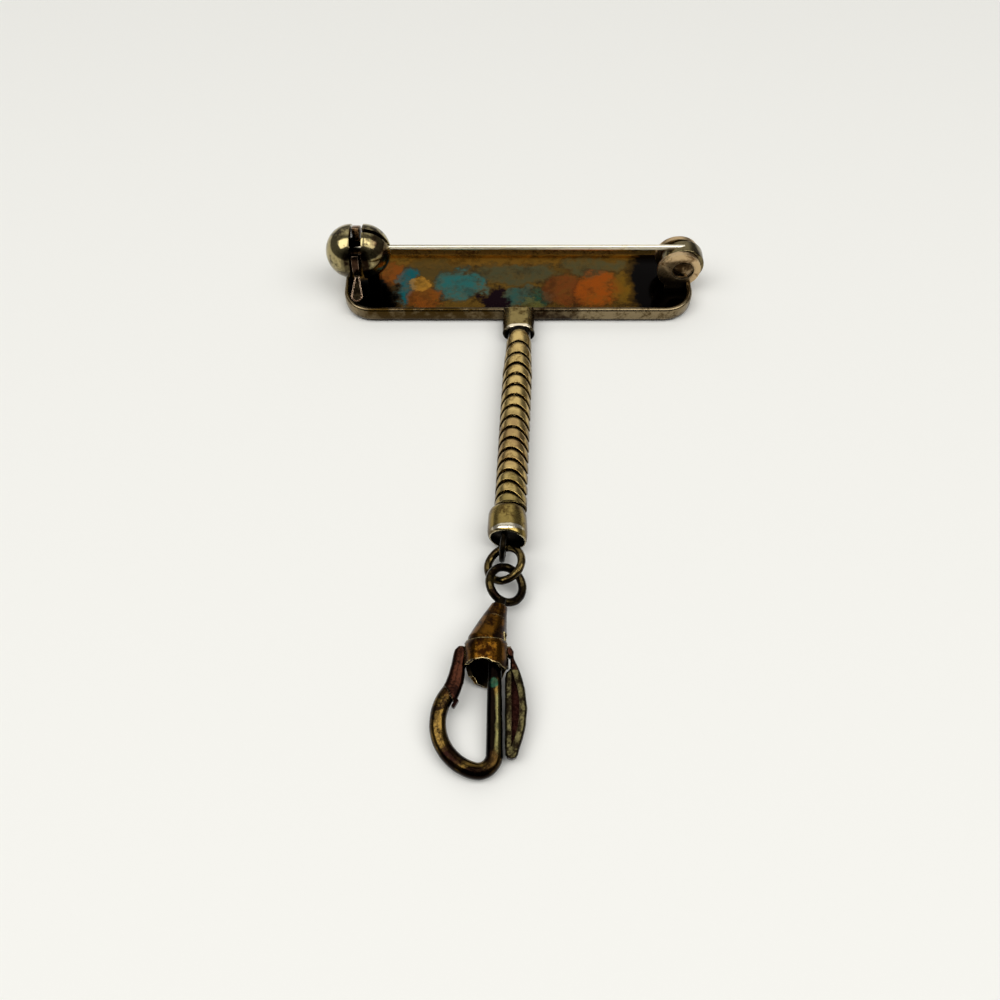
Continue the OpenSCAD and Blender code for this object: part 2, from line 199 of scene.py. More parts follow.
@dataclass(frozen=True)
class AgedBrass:
    """Gilt brass, stamped, drawn or cast, worn and tarnished over a century.

    Attributes:
        name: the material's name.
        light: colour where the gilding still shines.
        dark: colour of the tarnish in blotches.
        dirt_and_shade: colour of the dirt in corners and small pits.
        blotch_mm: width of the tarnish blotches.
        amount: share of the surface that the tarnish covers, 0 to 1.
        smooth, rough: roughness where it shines and where it is tarnished.
        grain_mm: spacing of the fine wear marks, drawn as coarse as the picture needs.
        relief_mm: height of the dents and marks.
        corner_shade_mm: reach of the painted shade out of corners, 0 for none.
        worn, worn_mm: colour of rubbed edges, empty for none, and their width.
        tints: patches of coloured tarnish, painted shade and painted highlights.
        warp_mm: how far the patches' edges wander.
        side_shade: colour of the painted shade on the sides that face away from above, empty for none.
    """

    name: str
    light: str
    dark: str
    dirt_and_shade: str = "120B05"
    blotch_mm: float = 1.2
    amount: float = 0.45
    smooth: float = 0.16
    rough: float = 0.42
    grain_mm: float = 0.16
    relief_mm: float = 0.02
    corner_shade_mm: float = 0.5
    worn: str = ""
    worn_mm: float = 0.12
    tints: tuple[Tint, ...] = ()
    warp_mm: float = 0.5
    side_shade: str = ""

    # Smooth steps: where each begins and ends, and where a third and fourth number stand, the mask there
    PITS = (0.62, 0.74, 0.0, 0.6)
    # The next two steps make painted shade: in corners by occlusion, and on the sides
    CORNER_SHADE = (0.15, 0.8, 0.85, 0.0)
    SIDES = (0.4, 1.0, 0.85, 0.0)
    EDGES = (0.84, 0.98, 1.0, 0.0)
    BREAKS = (0.25, 0.5)
    CLOUD = (0.38, 0.68)
    PATCH = (0.68, 1.12)
    LINE = (0.84, 0.97, 1.14)
    LINE_SHARE = 0.28
    CLOUD_MM = 1.1
    WARP_MM = 2.2
    # Where the tarnish begins in the noise, how much the amount lowers that, and half its soft edge
    BARE, COVER, SPREAD = 0.72, 0.42, 0.09
    # Shares of the coarse noise in the tarnish and of the wear marks in the relief, and roughness by marks
    BROAD, MARKS, SHEEN = 0.65, 0.3, 0.12
    BUMP = 0.35
    LEAST_ROUGH = 0.07

    def make(self) -> bpy.types.Material:
        """Builds the material, or returns it where it was built before.

        Returns:
            The material.
        """
        if self.name in bpy.data.materials:
            return bpy.data.materials[self.name]
        material = bpy.data.materials.new(self.name)
        material.use_nodes = True
        tree = material.node_tree
        add = partial(add_node, tree)
        place = add("TexCoord", out="Object")
        blotch, fine, grain = (
            add("TexNoise", place, 1 / (size * MM), detail, roughness)
            for size, detail, roughness in
            ((self.blotch_mm, 4.0, 0.6), (self.blotch_mm / 5, 4.0, 0.65), (self.grain_mm, 2.0, 0.5))
        )
        edge = self.BARE - self.COVER * self.amount
        mixed = add("Mix", self.BROAD, fine, blotch)
        tarnish = add("MapRange", mixed, edge - self.SPREAD, edge + self.SPREAD, **SMOOTH)
        sheen = add("Math", grain, self.SHEEN, self.smooth - self.SHEEN / 2, operation="MULTIPLY_ADD")
        rough = add("Math", tarnish, self.rough - self.smooth, sheen, operation="MULTIPLY_ADD")
        layers = [(tarnish, self.dark), (add("MapRange", fine, *self.PITS, **SMOOTH), self.dirt_and_shade)]
        if self.tints:
            patches, rough = self.tinted(add, place, rough)
            layers += patches
        # Painted shade on the sides that face away from above
        if self.side_shade:
            layers.append((self.shaded_sides(add, fine), self.side_shade))
        if self.worn:
            layers.append((self.rubbed(add, grain), self.worn))
        # Painted shade: darker towards corners and hollows, by occlusion
        if self.corner_shade_mm:
            openness = add("AmbientOcclusion", None, self.corner_shade_mm * MM, out="AO", samples=8)
            layers.append((add("MapRange", openness, *self.CORNER_SHADE, **SMOOTH), self.dirt_and_shade))
        colour = self.light
        for mask, over in layers:
            colour = add("Mix", mask, colour, over, data_type="RGBA")
        height = add("Mix", self.MARKS, fine, grain)
        inputs = tree.nodes["Principled BSDF"].inputs
        inputs["Metallic"].default_value = 1.0
        tree.links.new(colour, inputs["Base Color"])
        tree.links.new(add("Math", rough, self.LEAST_ROUGH, operation="MAXIMUM"), inputs["Roughness"])
        tree.links.new(add("Bump", self.BUMP, self.relief_mm * MM, None, height), inputs["Normal"])
        return material

    def shaded_sides(self, add: Callable[..., Socket], fine: Socket) -> Socket:
        """Where the piece's sides face away from above, for painted shade there, 0 to 1.

        Args:
            add: adds a node to the material.
            fine: noise that breaks the line.

        Returns:
            The mask.
        """
        normal = add("NewGeometry", out="Normal")
        own = add("VectorTransform", normal, vector_type="NORMAL", convert_from="WORLD", convert_to="OBJECT")
        up = add("Math", fine, 0.3, add("SeparateXYZ", own, out="Z"), operation="MULTIPLY_ADD")
        return add("MapRange", up, *self.SIDES, **SMOOTH)

    def rubbed(self, add: Callable[..., Socket], grain: Socket) -> Socket:
        """Where an edge is rubbed bright, 0 to 1.

        Args:
            add: adds a node to the material.
            grain: fine noise that breaks the line.

        Returns:
            The mask.
        """
        rounded = add("Bevel", self.worn_mm * MM, samples=6)
        same = add("VectorMath", rounded, add("NewGeometry", out="Normal"), operation="DOT_PRODUCT")
        edge = add("MapRange", same, *self.EDGES, **SMOOTH)
        return add("MapRange", grain, *self.BREAKS, 0.0, edge, **SMOOTH)

    def tinted(self, add: Callable[..., Socket], place: Socket,
               rough: Socket) -> tuple[list[tuple[Socket, str]], Socket]:
        """The coloured patches, each with a dark line around it.

        Args:
            add: adds a node to the material.
            place: Object coordinates.
            rough: the roughness below.

        Returns:
            Masks with their colours, and the roughness with the patches.
        """
        reach, half = self.warp_mm * MM, self.warp_mm / 2
        warp = add("TexNoise", place, 1 / (self.WARP_MM * MM), 5.0, 0.66, out="Color")
        shift = add("VectorMath", warp, (reach, reach, 0), place, operation="MULTIPLY_ADD")
        haze = add("TexNoise", place, 1 / (self.CLOUD_MM * MM), 4.0, 0.62)
        cloud = add("MapRange", haze, *self.CLOUD, **SMOOTH)
        start, crest, end = self.LINE
        layers = []
        for tint in self.tints:
            own = add("VectorMath", shift, (1 / (tint.rx * MM), 1 / (tint.ry * MM), 0),
                      (-(tint.x + half) / tint.rx, -(tint.y + half) / tint.ry, 0), operation="MULTIPLY_ADD")
            far = add("VectorMath", own, operation="LENGTH")
            shown = add("Math", cloud, -0.5, tint.strength, operation="MULTIPLY_ADD")
            layers.append((add("MapRange", far, *self.PATCH, shown, 0.0, **SMOOTH), tint.colour))
            line = add("MapRange", far, start, crest, 0.0, self.LINE_SHARE, **SMOOTH)
            layers.append((add("MapRange", far, crest, end, line, 0.0, **SMOOTH), self.dirt_and_shade))
            if tint.gloss:
                kept = add("MapRange", far, *self.PATCH, 1 - tint.gloss, 1.0, **SMOOTH)
                rough = add("Math", rough, kept, operation="MULTIPLY")
        return layers, rough


# Stamped brass: folded, rubbed on the rim, with oil-coloured tarnish pooled on the tray's floor
TRAY = AgedBrass(
    "oil-coloured tarnish on brass, with painted shade", "624818", "38260C", "0A0503", blotch_mm=2.2, amount=0.4,
    smooth=0.2, rough=0.32, relief_mm=0.012, corner_shade_mm=0.45, warp_mm=4.4,
    tints=(
        Tint(-1, 3.3, 16, 1.0, "6E4C16"), Tint(7.8, 2.4, 3.4, 1.5, "4A472C"),
        Tint(-8.8, 2.3, 3.2, 1.6, "4C3C1A"), Tint(-0.3, 1.3, 4.6, 1.7, "45452E"),
        Tint(-5.9, 0.0, 2.7, 2.4, "27605C", 1.0), Tint(-12.9, 1.2, 1.3, 2.0, "7C4010"),
        Tint(-11.4, -0.2, 1.2, 2.9, "135458", 1.05), Tint(-9.4, -1.9, 1.9, 1.6, "7E4210"),
        Tint(-10.0, 0.0, 1.1, 1.1, "A87628"), Tint(0.2, -2.0, 2.0, 1.5, "2A5048", 0.95),
        Tint(-2.6, -2.6, 1.5, 2.0, "14060C", 1.5), Tint(2.9, -1.9, 1.2, 1.3, "184838", 0.95),
        Tint(1.7, -2.9, 1.2, 0.9, "5E5C2C"), Tint(4.9, -0.9, 2.2, 2.5, "6C3612"),
        Tint(8.2, -0.9, 2.4, 2.7, "90450C", 1.0), Tint(10.9, -0.9, 1.4, 2.7, "6E4E10"),
        # Painted shade: the two near-black patches at the floor's ends
        Tint(15.2, -0.2, 4.1, 6.0, "060403", 1.6, 0.4), Tint(-14.9, -2.6, 2.9, 3.6, "050504", 1.6, 0.4),
    ),
)
# Under the far rim the same sheet, dull and cloudy, is painted as pale gilding: painted light on the far
# inner wall
WALL = AgedBrass("far inner wall, gilding painted lit", "D2A858", "6A4218", "1A0C05", amount=0.42, smooth=0.46,
                 rough=0.66, corner_shade_mm=0.12)
# The same sheet outside and on its rim, rubbed by cloth, browner to the left of the chain
RIM = AgedBrass("stamped gilt brass, rubbed", "87775A", "4A3A1E", amount=0.4, smooth=0.22, rough=0.36,
                worn="C2B594", worn_mm=0.14,
                tints=(Tint(-9, -5.0, 9, 0.8, "3C2C10", 1.1), Tint(3.4, -4.9, 2.6, 0.8, "241608", 1.0)))
# Turned balls: still the brightest gilding, with painted shade low on the front of each half and far out of
# corners
BALL = AgedBrass("turned gilt brass", "A6986C", "2E2210", amount=0.42, smooth=0.12, rough=0.24, corner_shade_mm=2.6,
                 relief_mm=0.012, tints=(Tint(-15.9, -2.2, 1.5, 1.1, "1A1008", 1.2),
                                         Tint(-13.6, -0.6, 0.8, 1.6, "3A2214", 0.9)))
# Sheet ears: paler, rubbed by fingers
EAR = AgedBrass("sheet brass, rubbed pale", "C8AC82", "6E5232", amount=0.36, smooth=0.3, rough=0.46,
                worn="CDBE9A", corner_shade_mm=0.7)
# Knuckle: a strap bent round the rivet, olive and half glossy
KNUCKLE = AgedBrass("bent brass strap", "75694A", "382A16", amount=0.4, smooth=0.18, rough=0.3)
# Pin wire: hard pale alloy, drawn, the only silvery part
STEM = AgedBrass("drawn nickel brass wire", "FFF6DC", "F0DCB0", amount=0.25, smooth=0.36, rough=0.48,
                 corner_shade_mm=0.0, relief_mm=0.006)
# Rivet: hammered heads, with painted shade around their edge
RIVET = AgedBrass("peened brass rivet", "8A7454", "3E2C18", amount=0.5, smooth=0.2, rough=0.4)
# Lock: copper-brown, dark as painted shade in the slot, with a painted lit patch on its top and rubbed bright
# edges
LOCK = AgedBrass("copper-brown brass", "38261A", "160D08", "050302", amount=0.5, smooth=0.18, rough=0.35,
                 worn="E2C4A4", worn_mm=0.15, tints=(Tint(-16, 2.0, 0.7, 1.2, "8A6844", 0.95),))
# Tube: pinched by hand around the chain, so it has soft upright facets; painted shade on its sides, a painted
# highlight on its mouth's rim
TUBE = AgedBrass("pinched gilt tube", "8E7C4C", "4A3818", amount=0.42, smooth=0.18, rough=0.34, worn="F0E4C0",
                 worn_mm=0.2, side_shade="2A1E0C", tints=(Tint(0.05, -7.42, 1.5, 0.24, "FFF0D0", 1.5, 0.2),))
# Scales: rolled and crimped, olive gold, with painted shade on their sides and where they overlap
SCALE = AgedBrass("rolled gilt scales", "DABC78", "7E6028", "0C0703", blotch_mm=0.9, amount=0.35,
                  smooth=0.22, rough=0.36, corner_shade_mm=0.25, relief_mm=0.01, side_shade="3E3012",
                  tints=(Tint(-0.8, -22, 1.6, 3.4, "8A6646", 0.6), Tint(-1.1, -27, 1.8, 1.8, "6A6228", 0.6)))
# Cup: spun, olive gold, with a rubbed rim, a painted highlight along it and painted shade on its sides
CUP = AgedBrass("spun gilt cup", "A08A4C", "584420", "060402", amount=0.42, smooth=0.22, rough=0.36,
                corner_shade_mm=0.9, worn="F2E6C0", worn_mm=0.22, side_shade="42300F",
                tints=(Tint(-1.25, -30.78, 1.5, 0.26, "FFF4D8", 1.5, 0.2),))
# Links: bent wire, glossy along its top, with painted shade on its sides; the eye takes a blacker copy,
# painted shade between ring and barrel
LINK = AgedBrass("bent gilt wire", "746238", "20150A", blotch_mm=0.8, amount=0.52, smooth=0.12, rough=0.24,
                 side_shade="0C0704")
SHADED_LINK = AgedBrass("bent wire, painted shade", "4A3E22", "140B07", blotch_mm=0.8, amount=0.6, smooth=0.14,
                 rough=0.28, side_shade="0A0503")
# Painted shade: black, hardly glossy, on hidden metal, in hollows and mouths
SHADE = AgedBrass("painted shade, black", "1C160C", "0C0804", "040302", amount=0.5, smooth=0.25, rough=0.45)
# Barrel and collar: gilding worn down to brown, edges rubbed bright, painted shade on the sides
BARREL = AgedBrass("worn gilding over brown", "6A4510", "241104", "0A0503", blotch_mm=0.9, amount=0.52,
                   smooth=0.18, rough=0.34, worn="D8C48C", worn_mm=0.15, side_shade="200F05")
# Hook: cast and polished once, now almost black-brown with golden glints, a green spot at its root, painted
# shade on its sides
BENT = AgedBrass("dark cast brass", "6E5628", "1C120A", "060302", blotch_mm=1.1, amount=0.52, smooth=0.14,
                 rough=0.3, relief_mm=0.015, side_shade="0E0703",
                 tints=(
                     # The arm: a painted olive glint on its right half, painted shade on its left half and
                     # where it enters the collar
                     Tint(-2.0, -46.8, 0.5, 2.4, "5C5A38"), Tint(-2.62, -46.6, 0.52, 3.4, "0A0604", 1.5),
                     Tint(-2.25, -42.5, 0.8, 1.15, "070403", 1.6),
                     Tint(-2.3, -43.85, 0.42, 0.42, "1C4432", 0.95),
                     Tint(-5.3, -49.2, 1.2, 0.9, "1C0E0A", 1.0), Tint(-3.7, -50.6, 1.5, 0.7, "160C07", 1.2),
                     Tint(-2.4, -49.6, 0.6, 0.8, "2A1A0C", 0.8), Tint(-5.9, -44.0, 0.8, 1.0, "3A230E"),
                 ))
# Inside the lever the red patina was never rubbed off; painted darker as shade in the hollow and on the nib
GROOVE = AgedBrass("dark red patina and painted shade in a hollow", "1E0D09", "100504", "050202", blotch_mm=0.6, amount=0.5,
                   smooth=0.2, rough=0.34)
# On top of it a thumb rubbed the patina to a dull olive, which also stands as a painted sheen; painted shade
# on its sides
RUBBED_AND_SHEEN = AgedBrass("brass rubbed by a thumb, with painted sheen", "4A442A", "150F08", "120B06", blotch_mm=0.9, amount=0.6,
                    smooth=0.15, rough=0.32, side_shade="120A06")
# Gate and lever: dark red patina with paler edges
PATINA = AgedBrass("red-brown patina", "341C12", "150A07", "050202", blotch_mm=0.8, amount=0.5, smooth=0.14,
                   rough=0.32, worn="5E5238", worn_mm=0.1)


# Bench


class Bench:
    """A piece in the making: a mesh in millimetres in its own frame, and the work done on it."""

    CREASE_DEG = 38.0

    def __init__(self) -> None:
        """Starts with nothing on the bench."""
        self.mesh = bmesh.new()

    def block(self, low: Point, high: Point, place: Matrix = WORLD) -> Bench:
        """Adds a block between two corners."""
        middle, size = (Vector(low) + Vector(high)) / 2, Vector(high) - Vector(low)
        bmesh.ops.create_cube(self.mesh, size=1.0, matrix=place @ Matrix.LocRotScale(middle, None, size))
        return self

    def round(self, radius: float, depth: float, place: Matrix = WORLD, segments: int = 72) -> Bench:
        """Adds a disc or rod about the place's own Z."""
        bmesh.ops.create_cone(self.mesh, cap_ends=True, cap_tris=False, segments=segments, radius1=radius,
                              radius2=radius, depth=depth, matrix=place)
        return self

    def ball(self, radius: float, centre: Point, segments: int = 96) -> Bench:
        """Adds a ball with its poles along X."""
        bmesh.ops.create_uvsphere(self.mesh, u_segments=segments, v_segments=segments // 2, radius=radius,
                                  matrix=frame_at(centre, (Axis.Y, 90)))
        return self

    def tube(self, segments: int, rows: int) -> Bench:
        """Adds an open tube of radius 1 about Y, from y 0.5 to -0.5.

        Args:
            segments: its sides.
            rows: lines round it, so that it can be shaped.

        Returns:
            The bench.
        """
        bmesh.ops.create_cone(self.mesh, cap_ends=False, segments=segments, radius1=1, radius2=1, depth=1,
                              matrix=Matrix.Rotation(math.pi / 2, 4, "X"))
        along = [e for e in self.mesh.edges if abs(e.verts[0].co.y - e.verts[1].co.y) > 0.5]
        bmesh.ops.subdivide_edges(self.mesh, edges=along, cuts=rows, use_grid_fill=True)
        return self

    def limb(self, rows: Sequence[Row], half: float, roundness: float) -> Bench:
        """Forges a limb along -Y.

        Args:
            rows: Y, left and right of its outline from above, downwards.
            half: half of its thickness.
            roundness: 1 for an oval section, less for a squarer one.

        Returns:
            The bench.
        """
        last = len(rows) - 1
        self.tube(40, 4 * last - 1)
        for vert in self.mesh.verts:
            at = min(max((0.5 - vert.co.y) * last, 0), last - 1e-6)
            y, left, right = Vector(rows[int(at)]).lerp(Vector(rows[int(at) + 1]), at - int(at))
            wide, high = (math.copysign(abs(value) ** roundness, value) for value in (vert.co.x, vert.co.z))
            thin = min(1.0, 1.6 * (right - left) + 0.2)
            vert.co = ((left + right) / 2 + wide * (right - left) / 2, y, high * half * thin)
        self.close_ends()
        return self.face_out()

    def take_off(self, name: str) -> bpy.types.Object:
        """Takes the mesh off the bench.

        Args:
            name: a name for it.

        Returns:
            The mesh as an object in the scene.
        """
        data = bpy.data.meshes.new(name)
        self.mesh.to_mesh(data)
        self.mesh.free()
        self.mesh = bmesh.new()
        return put(name, data)

    def add(self, *others: Bench) -> Bench:
        """Lays other pieces beside this one, soldered where they overlap.

        Args:
            others: the other pieces. They are used up.

        Returns:
            The bench.
        """
        for other in others:
            data = other.take_off("other").data
            self.mesh.from_mesh(data)
            bpy.data.meshes.remove(data)
        return self

    def turned(self, profile: Sequence[tuple[float, float]], closed: bool = False, steps: int = 72) -> Bench:
        """Turns a profile about the Y axis.

        Args:
            profile: points as distance along -Y and radius.
            closed: whether the last point joins the first.
            steps: facets round the axis.

        Returns:
            The bench.
        """
        points = [self.mesh.verts.new((radius, -along, 0)) for along, radius in profile]
        pairs = zip(points, points[1:] + points[:1] if closed else points[1:])
        lines = [self.mesh.edges.new(pair) for pair in pairs]
        bmesh.ops.spin(self.mesh, geom=points + lines, cent=(0, 0, 0), axis=(0, 1, 0), angle=math.tau,
                       steps=steps, use_merge=True)
        bmesh.ops.remove_doubles(self.mesh, verts=self.mesh.verts, dist=1e-4)
        return self.face_out()

    def wire_ring(self, radius: float, wire: float, start: float = 0.0, angle: float = 360.0) -> Bench:
        """Bends a round wire to a ring about Z.

        Args:
            radius: mean radius.
            wire: the wire's radius.
            start, angle: where the ring begins and how far it goes, in degrees.

        Returns:
            The bench.
        """
        place = frame_at((0, 0, 0), (Axis.Z, start)) @ frame_at((radius, 0, 0), (Axis.X, 90))
        bmesh.ops.spin(self.mesh, geom=self.circle(wire, 24, place), cent=(0, 0, 0), axis=(0, 0, 1), steps=96,
                       angle=math.radians(angle), use_merge=angle >= 360)
        self.close_ends()
        return self.face_out()

    def circle(self, radius: float, segments: int, place: Matrix) -> Geometry:
        """Adds an open circle about the place's Z, for a spin.

        Args:
            radius: its radius.
            segments: its sides.
            place: its frame.

        Returns:
            Its points and sides.
        """
        verts = bmesh.ops.create_circle(self.mesh, cap_ends=False, segments=segments, radius=radius,
                                        matrix=place)["verts"]
        return verts + list({edge for vert in verts for edge in vert.link_edges})

    def close_ends(self) -> None:
        """Caps every open loop."""
        bmesh.ops.holes_fill(self.mesh, edges=[e for e in self.mesh.edges if e.is_boundary], sides=0)

    def face_out(self) -> Bench:
        """Turns every face outwards."""
        bmesh.ops.recalc_face_normals(self.mesh, faces=self.mesh.faces)
        return self

    def thicken(self, wall: float) -> Bench:
        """Gives a sheet its wall, inwards."""
        self.face_out()
        bmesh.ops.solidify(self.mesh, geom=list(self.mesh.faces), thickness=wall)
        return self

    def sink(self, face: bmesh.types.BMFace, margin: float, way: Point) -> None:
        """Sinks a face between straight walls.

        Args:
            face: the flat face.
            margin: what is left around the hollow.
            way: how far its floor goes.
        """
        bmesh.ops.inset_region(self.mesh, faces=[face], thickness=margin, use_even_offset=True)
        floor = bmesh.ops.extrude_discrete_faces(self.mesh, faces=[face])["faces"][0]
        bmesh.ops.translate(self.mesh, verts=list(floor.verts), vec=way)

    def bevel(self, edges: Iterable[bmesh.types.BMEdge], width: float, segments: int) -> None:
        """Rounds the given edges."""
        bmesh.ops.bevel(self.mesh, geom=list(edges), offset=width, offset_type="OFFSET", segments=segments,
                        profile=0.5, affect="EDGES", material=-1, clamp_overlap=True, loop_slide=True)

    def soften(self, width: float, segments: int = 2, angle: float = 35.0,
               where: Callable[[Vector], bool] = lambda middle: True) -> Bench:
        """Rounds the sharp edges.

        Args:
            width: the bevel's width.
            segments: its facets.
            angle: an edge that turns more than this is sharp.
            where: which edges, by their middle.

        Returns:
            The bench.
        """
        self.mesh.normal_update()
        limit = math.radians(angle)
        self.bevel([
            edge for edge in self.mesh.edges
            if len(edge.link_faces) == 2 and edge.calc_face_angle(0) > limit
            and where((edge.verts[0].co + edge.verts[1].co) / 2)
        ], width, segments)
        return self

    def cut(self, point: Point, normal: Point, clear: bool = False) -> Bench:
        """Cuts along a plane.

        Args:
            point: a point on the plane.
            normal: its normal.
            clear: whether the side that the normal points to comes off, and the cut is closed.

        Returns:
            The bench.
        """
        everything = [*self.mesh.verts, *self.mesh.edges, *self.mesh.faces]
        done = bmesh.ops.bisect_plane(self.mesh, geom=everything, dist=1e-5, plane_co=point, plane_no=normal,
                                      clear_outer=clear)
        if clear:
            rim = [item for item in done["geom_cut"] if isinstance(item, bmesh.types.BMEdge)]
            bmesh.ops.holes_fill(self.mesh, edges=rim, sides=0)
        return self

    def wobble(self, depth: float, size: float, seed: float = 0.0, stretch: float = 1.0) -> Bench:
        """Dents the surface inwards by smooth noise, as hand work leaves it.

        Args:
            depth: the deepest dent.
            size: width of the dents.
            seed: moves the noise.
            stretch: how much longer the dents are along Y.

        Returns:
            The bench.
        """
        self.mesh.normal_update()
        for vert in self.mesh.verts:
            place = Vector((vert.co.x, vert.co.y / stretch, vert.co.z)) / size
            value = noise.noise(place + Vector((seed, seed, seed)))
            vert.co += vert.normal * depth * (value - 1) / 2
        return self

    def join(self, how: Join, *others: Bench) -> Bench:
        """Carves away or fuses on other shapes, one after the other.

        Args:
            how: what they do.
            others: the other shapes. They are used up.

        Returns:
            The bench.
        """
        for other in others:
            piece, tool = self.take_off("piece"), other.take_off("tool")
            modifier = piece.modifiers.new("join", "BOOLEAN")
            modifier.operation = how.value
            modifier.solver = "EXACT"
            modifier.object = tool
            graph = bpy.context.evaluated_depsgraph_get()
            joined = bpy.data.meshes.new_from_object(piece.evaluated_get(graph))
            self.mesh.from_mesh(joined)
            for data in (piece.data, tool.data, joined):
                bpy.data.meshes.remove(data)
            bmesh.ops.dissolve_degenerate(self.mesh, edges=self.mesh.edges, dist=1e-4)
        return self

    def accent(self, index: int, where: Callable[[Vector, Vector], bool]) -> Bench:
        """Marks faces for another finish.

        Args:
            index: which of the other finishes, from 1.
            where: which faces, by their middle and normal in the piece's own frame.

        Returns:
            The bench.
        """
        self.mesh.normal_update()
        for face in self.mesh.faces:
            if where(face.calc_center_median(), face.normal):
                face.material_index = index
        return self

    def finish(self, name: str, metal: AgedBrass, body: str, slot: str, replaces: Iterable[str] = (),
               place: Matrix = WORLD, others: Sequence[AgedBrass] = ()) -> None:
        """Takes the piece off the bench, finished and riding on its body.

        Args:
            name: the piece's name.
            metal: its finish.
            body: the CAD body that it rides on.
            slot: the record's material slot; not used.
            replaces: CAD nodes that it stands for.
            place: its frame, in millimetres.
            others: the finishes of accents 1, 2 and on.
        """
        self.mesh.transform(Matrix.Scale(MM, 4) @ place)
        crease = math.radians(self.CREASE_DEG)
        for edge in self.mesh.edges:
            edge.smooth = len(edge.link_faces) != 2 or edge.calc_face_angle(0) < crease
        for face in self.mesh.faces:
            face.smooth = True
        piece = self.take_off(name)
        for finish in (metal, *others):
            piece.data.materials.append(finish.make())
        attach(piece, body)
        if replaces:
            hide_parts(*replaces)
        log.info("%s: %d faces, rides on %s", name, len(piece.data.polygons), body)


def dress_node(node: str, metal: AgedBrass) -> None:
    """Gives a CAD node that is kept a finish in place of its plain colour.

    Args:
        node: the node's name.
        metal: its finish.
    """
    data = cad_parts[node].data
    data.materials.clear()
    data.materials.append(metal.make())
    log.info("%s: kept from the CAD", node)


# The brooch


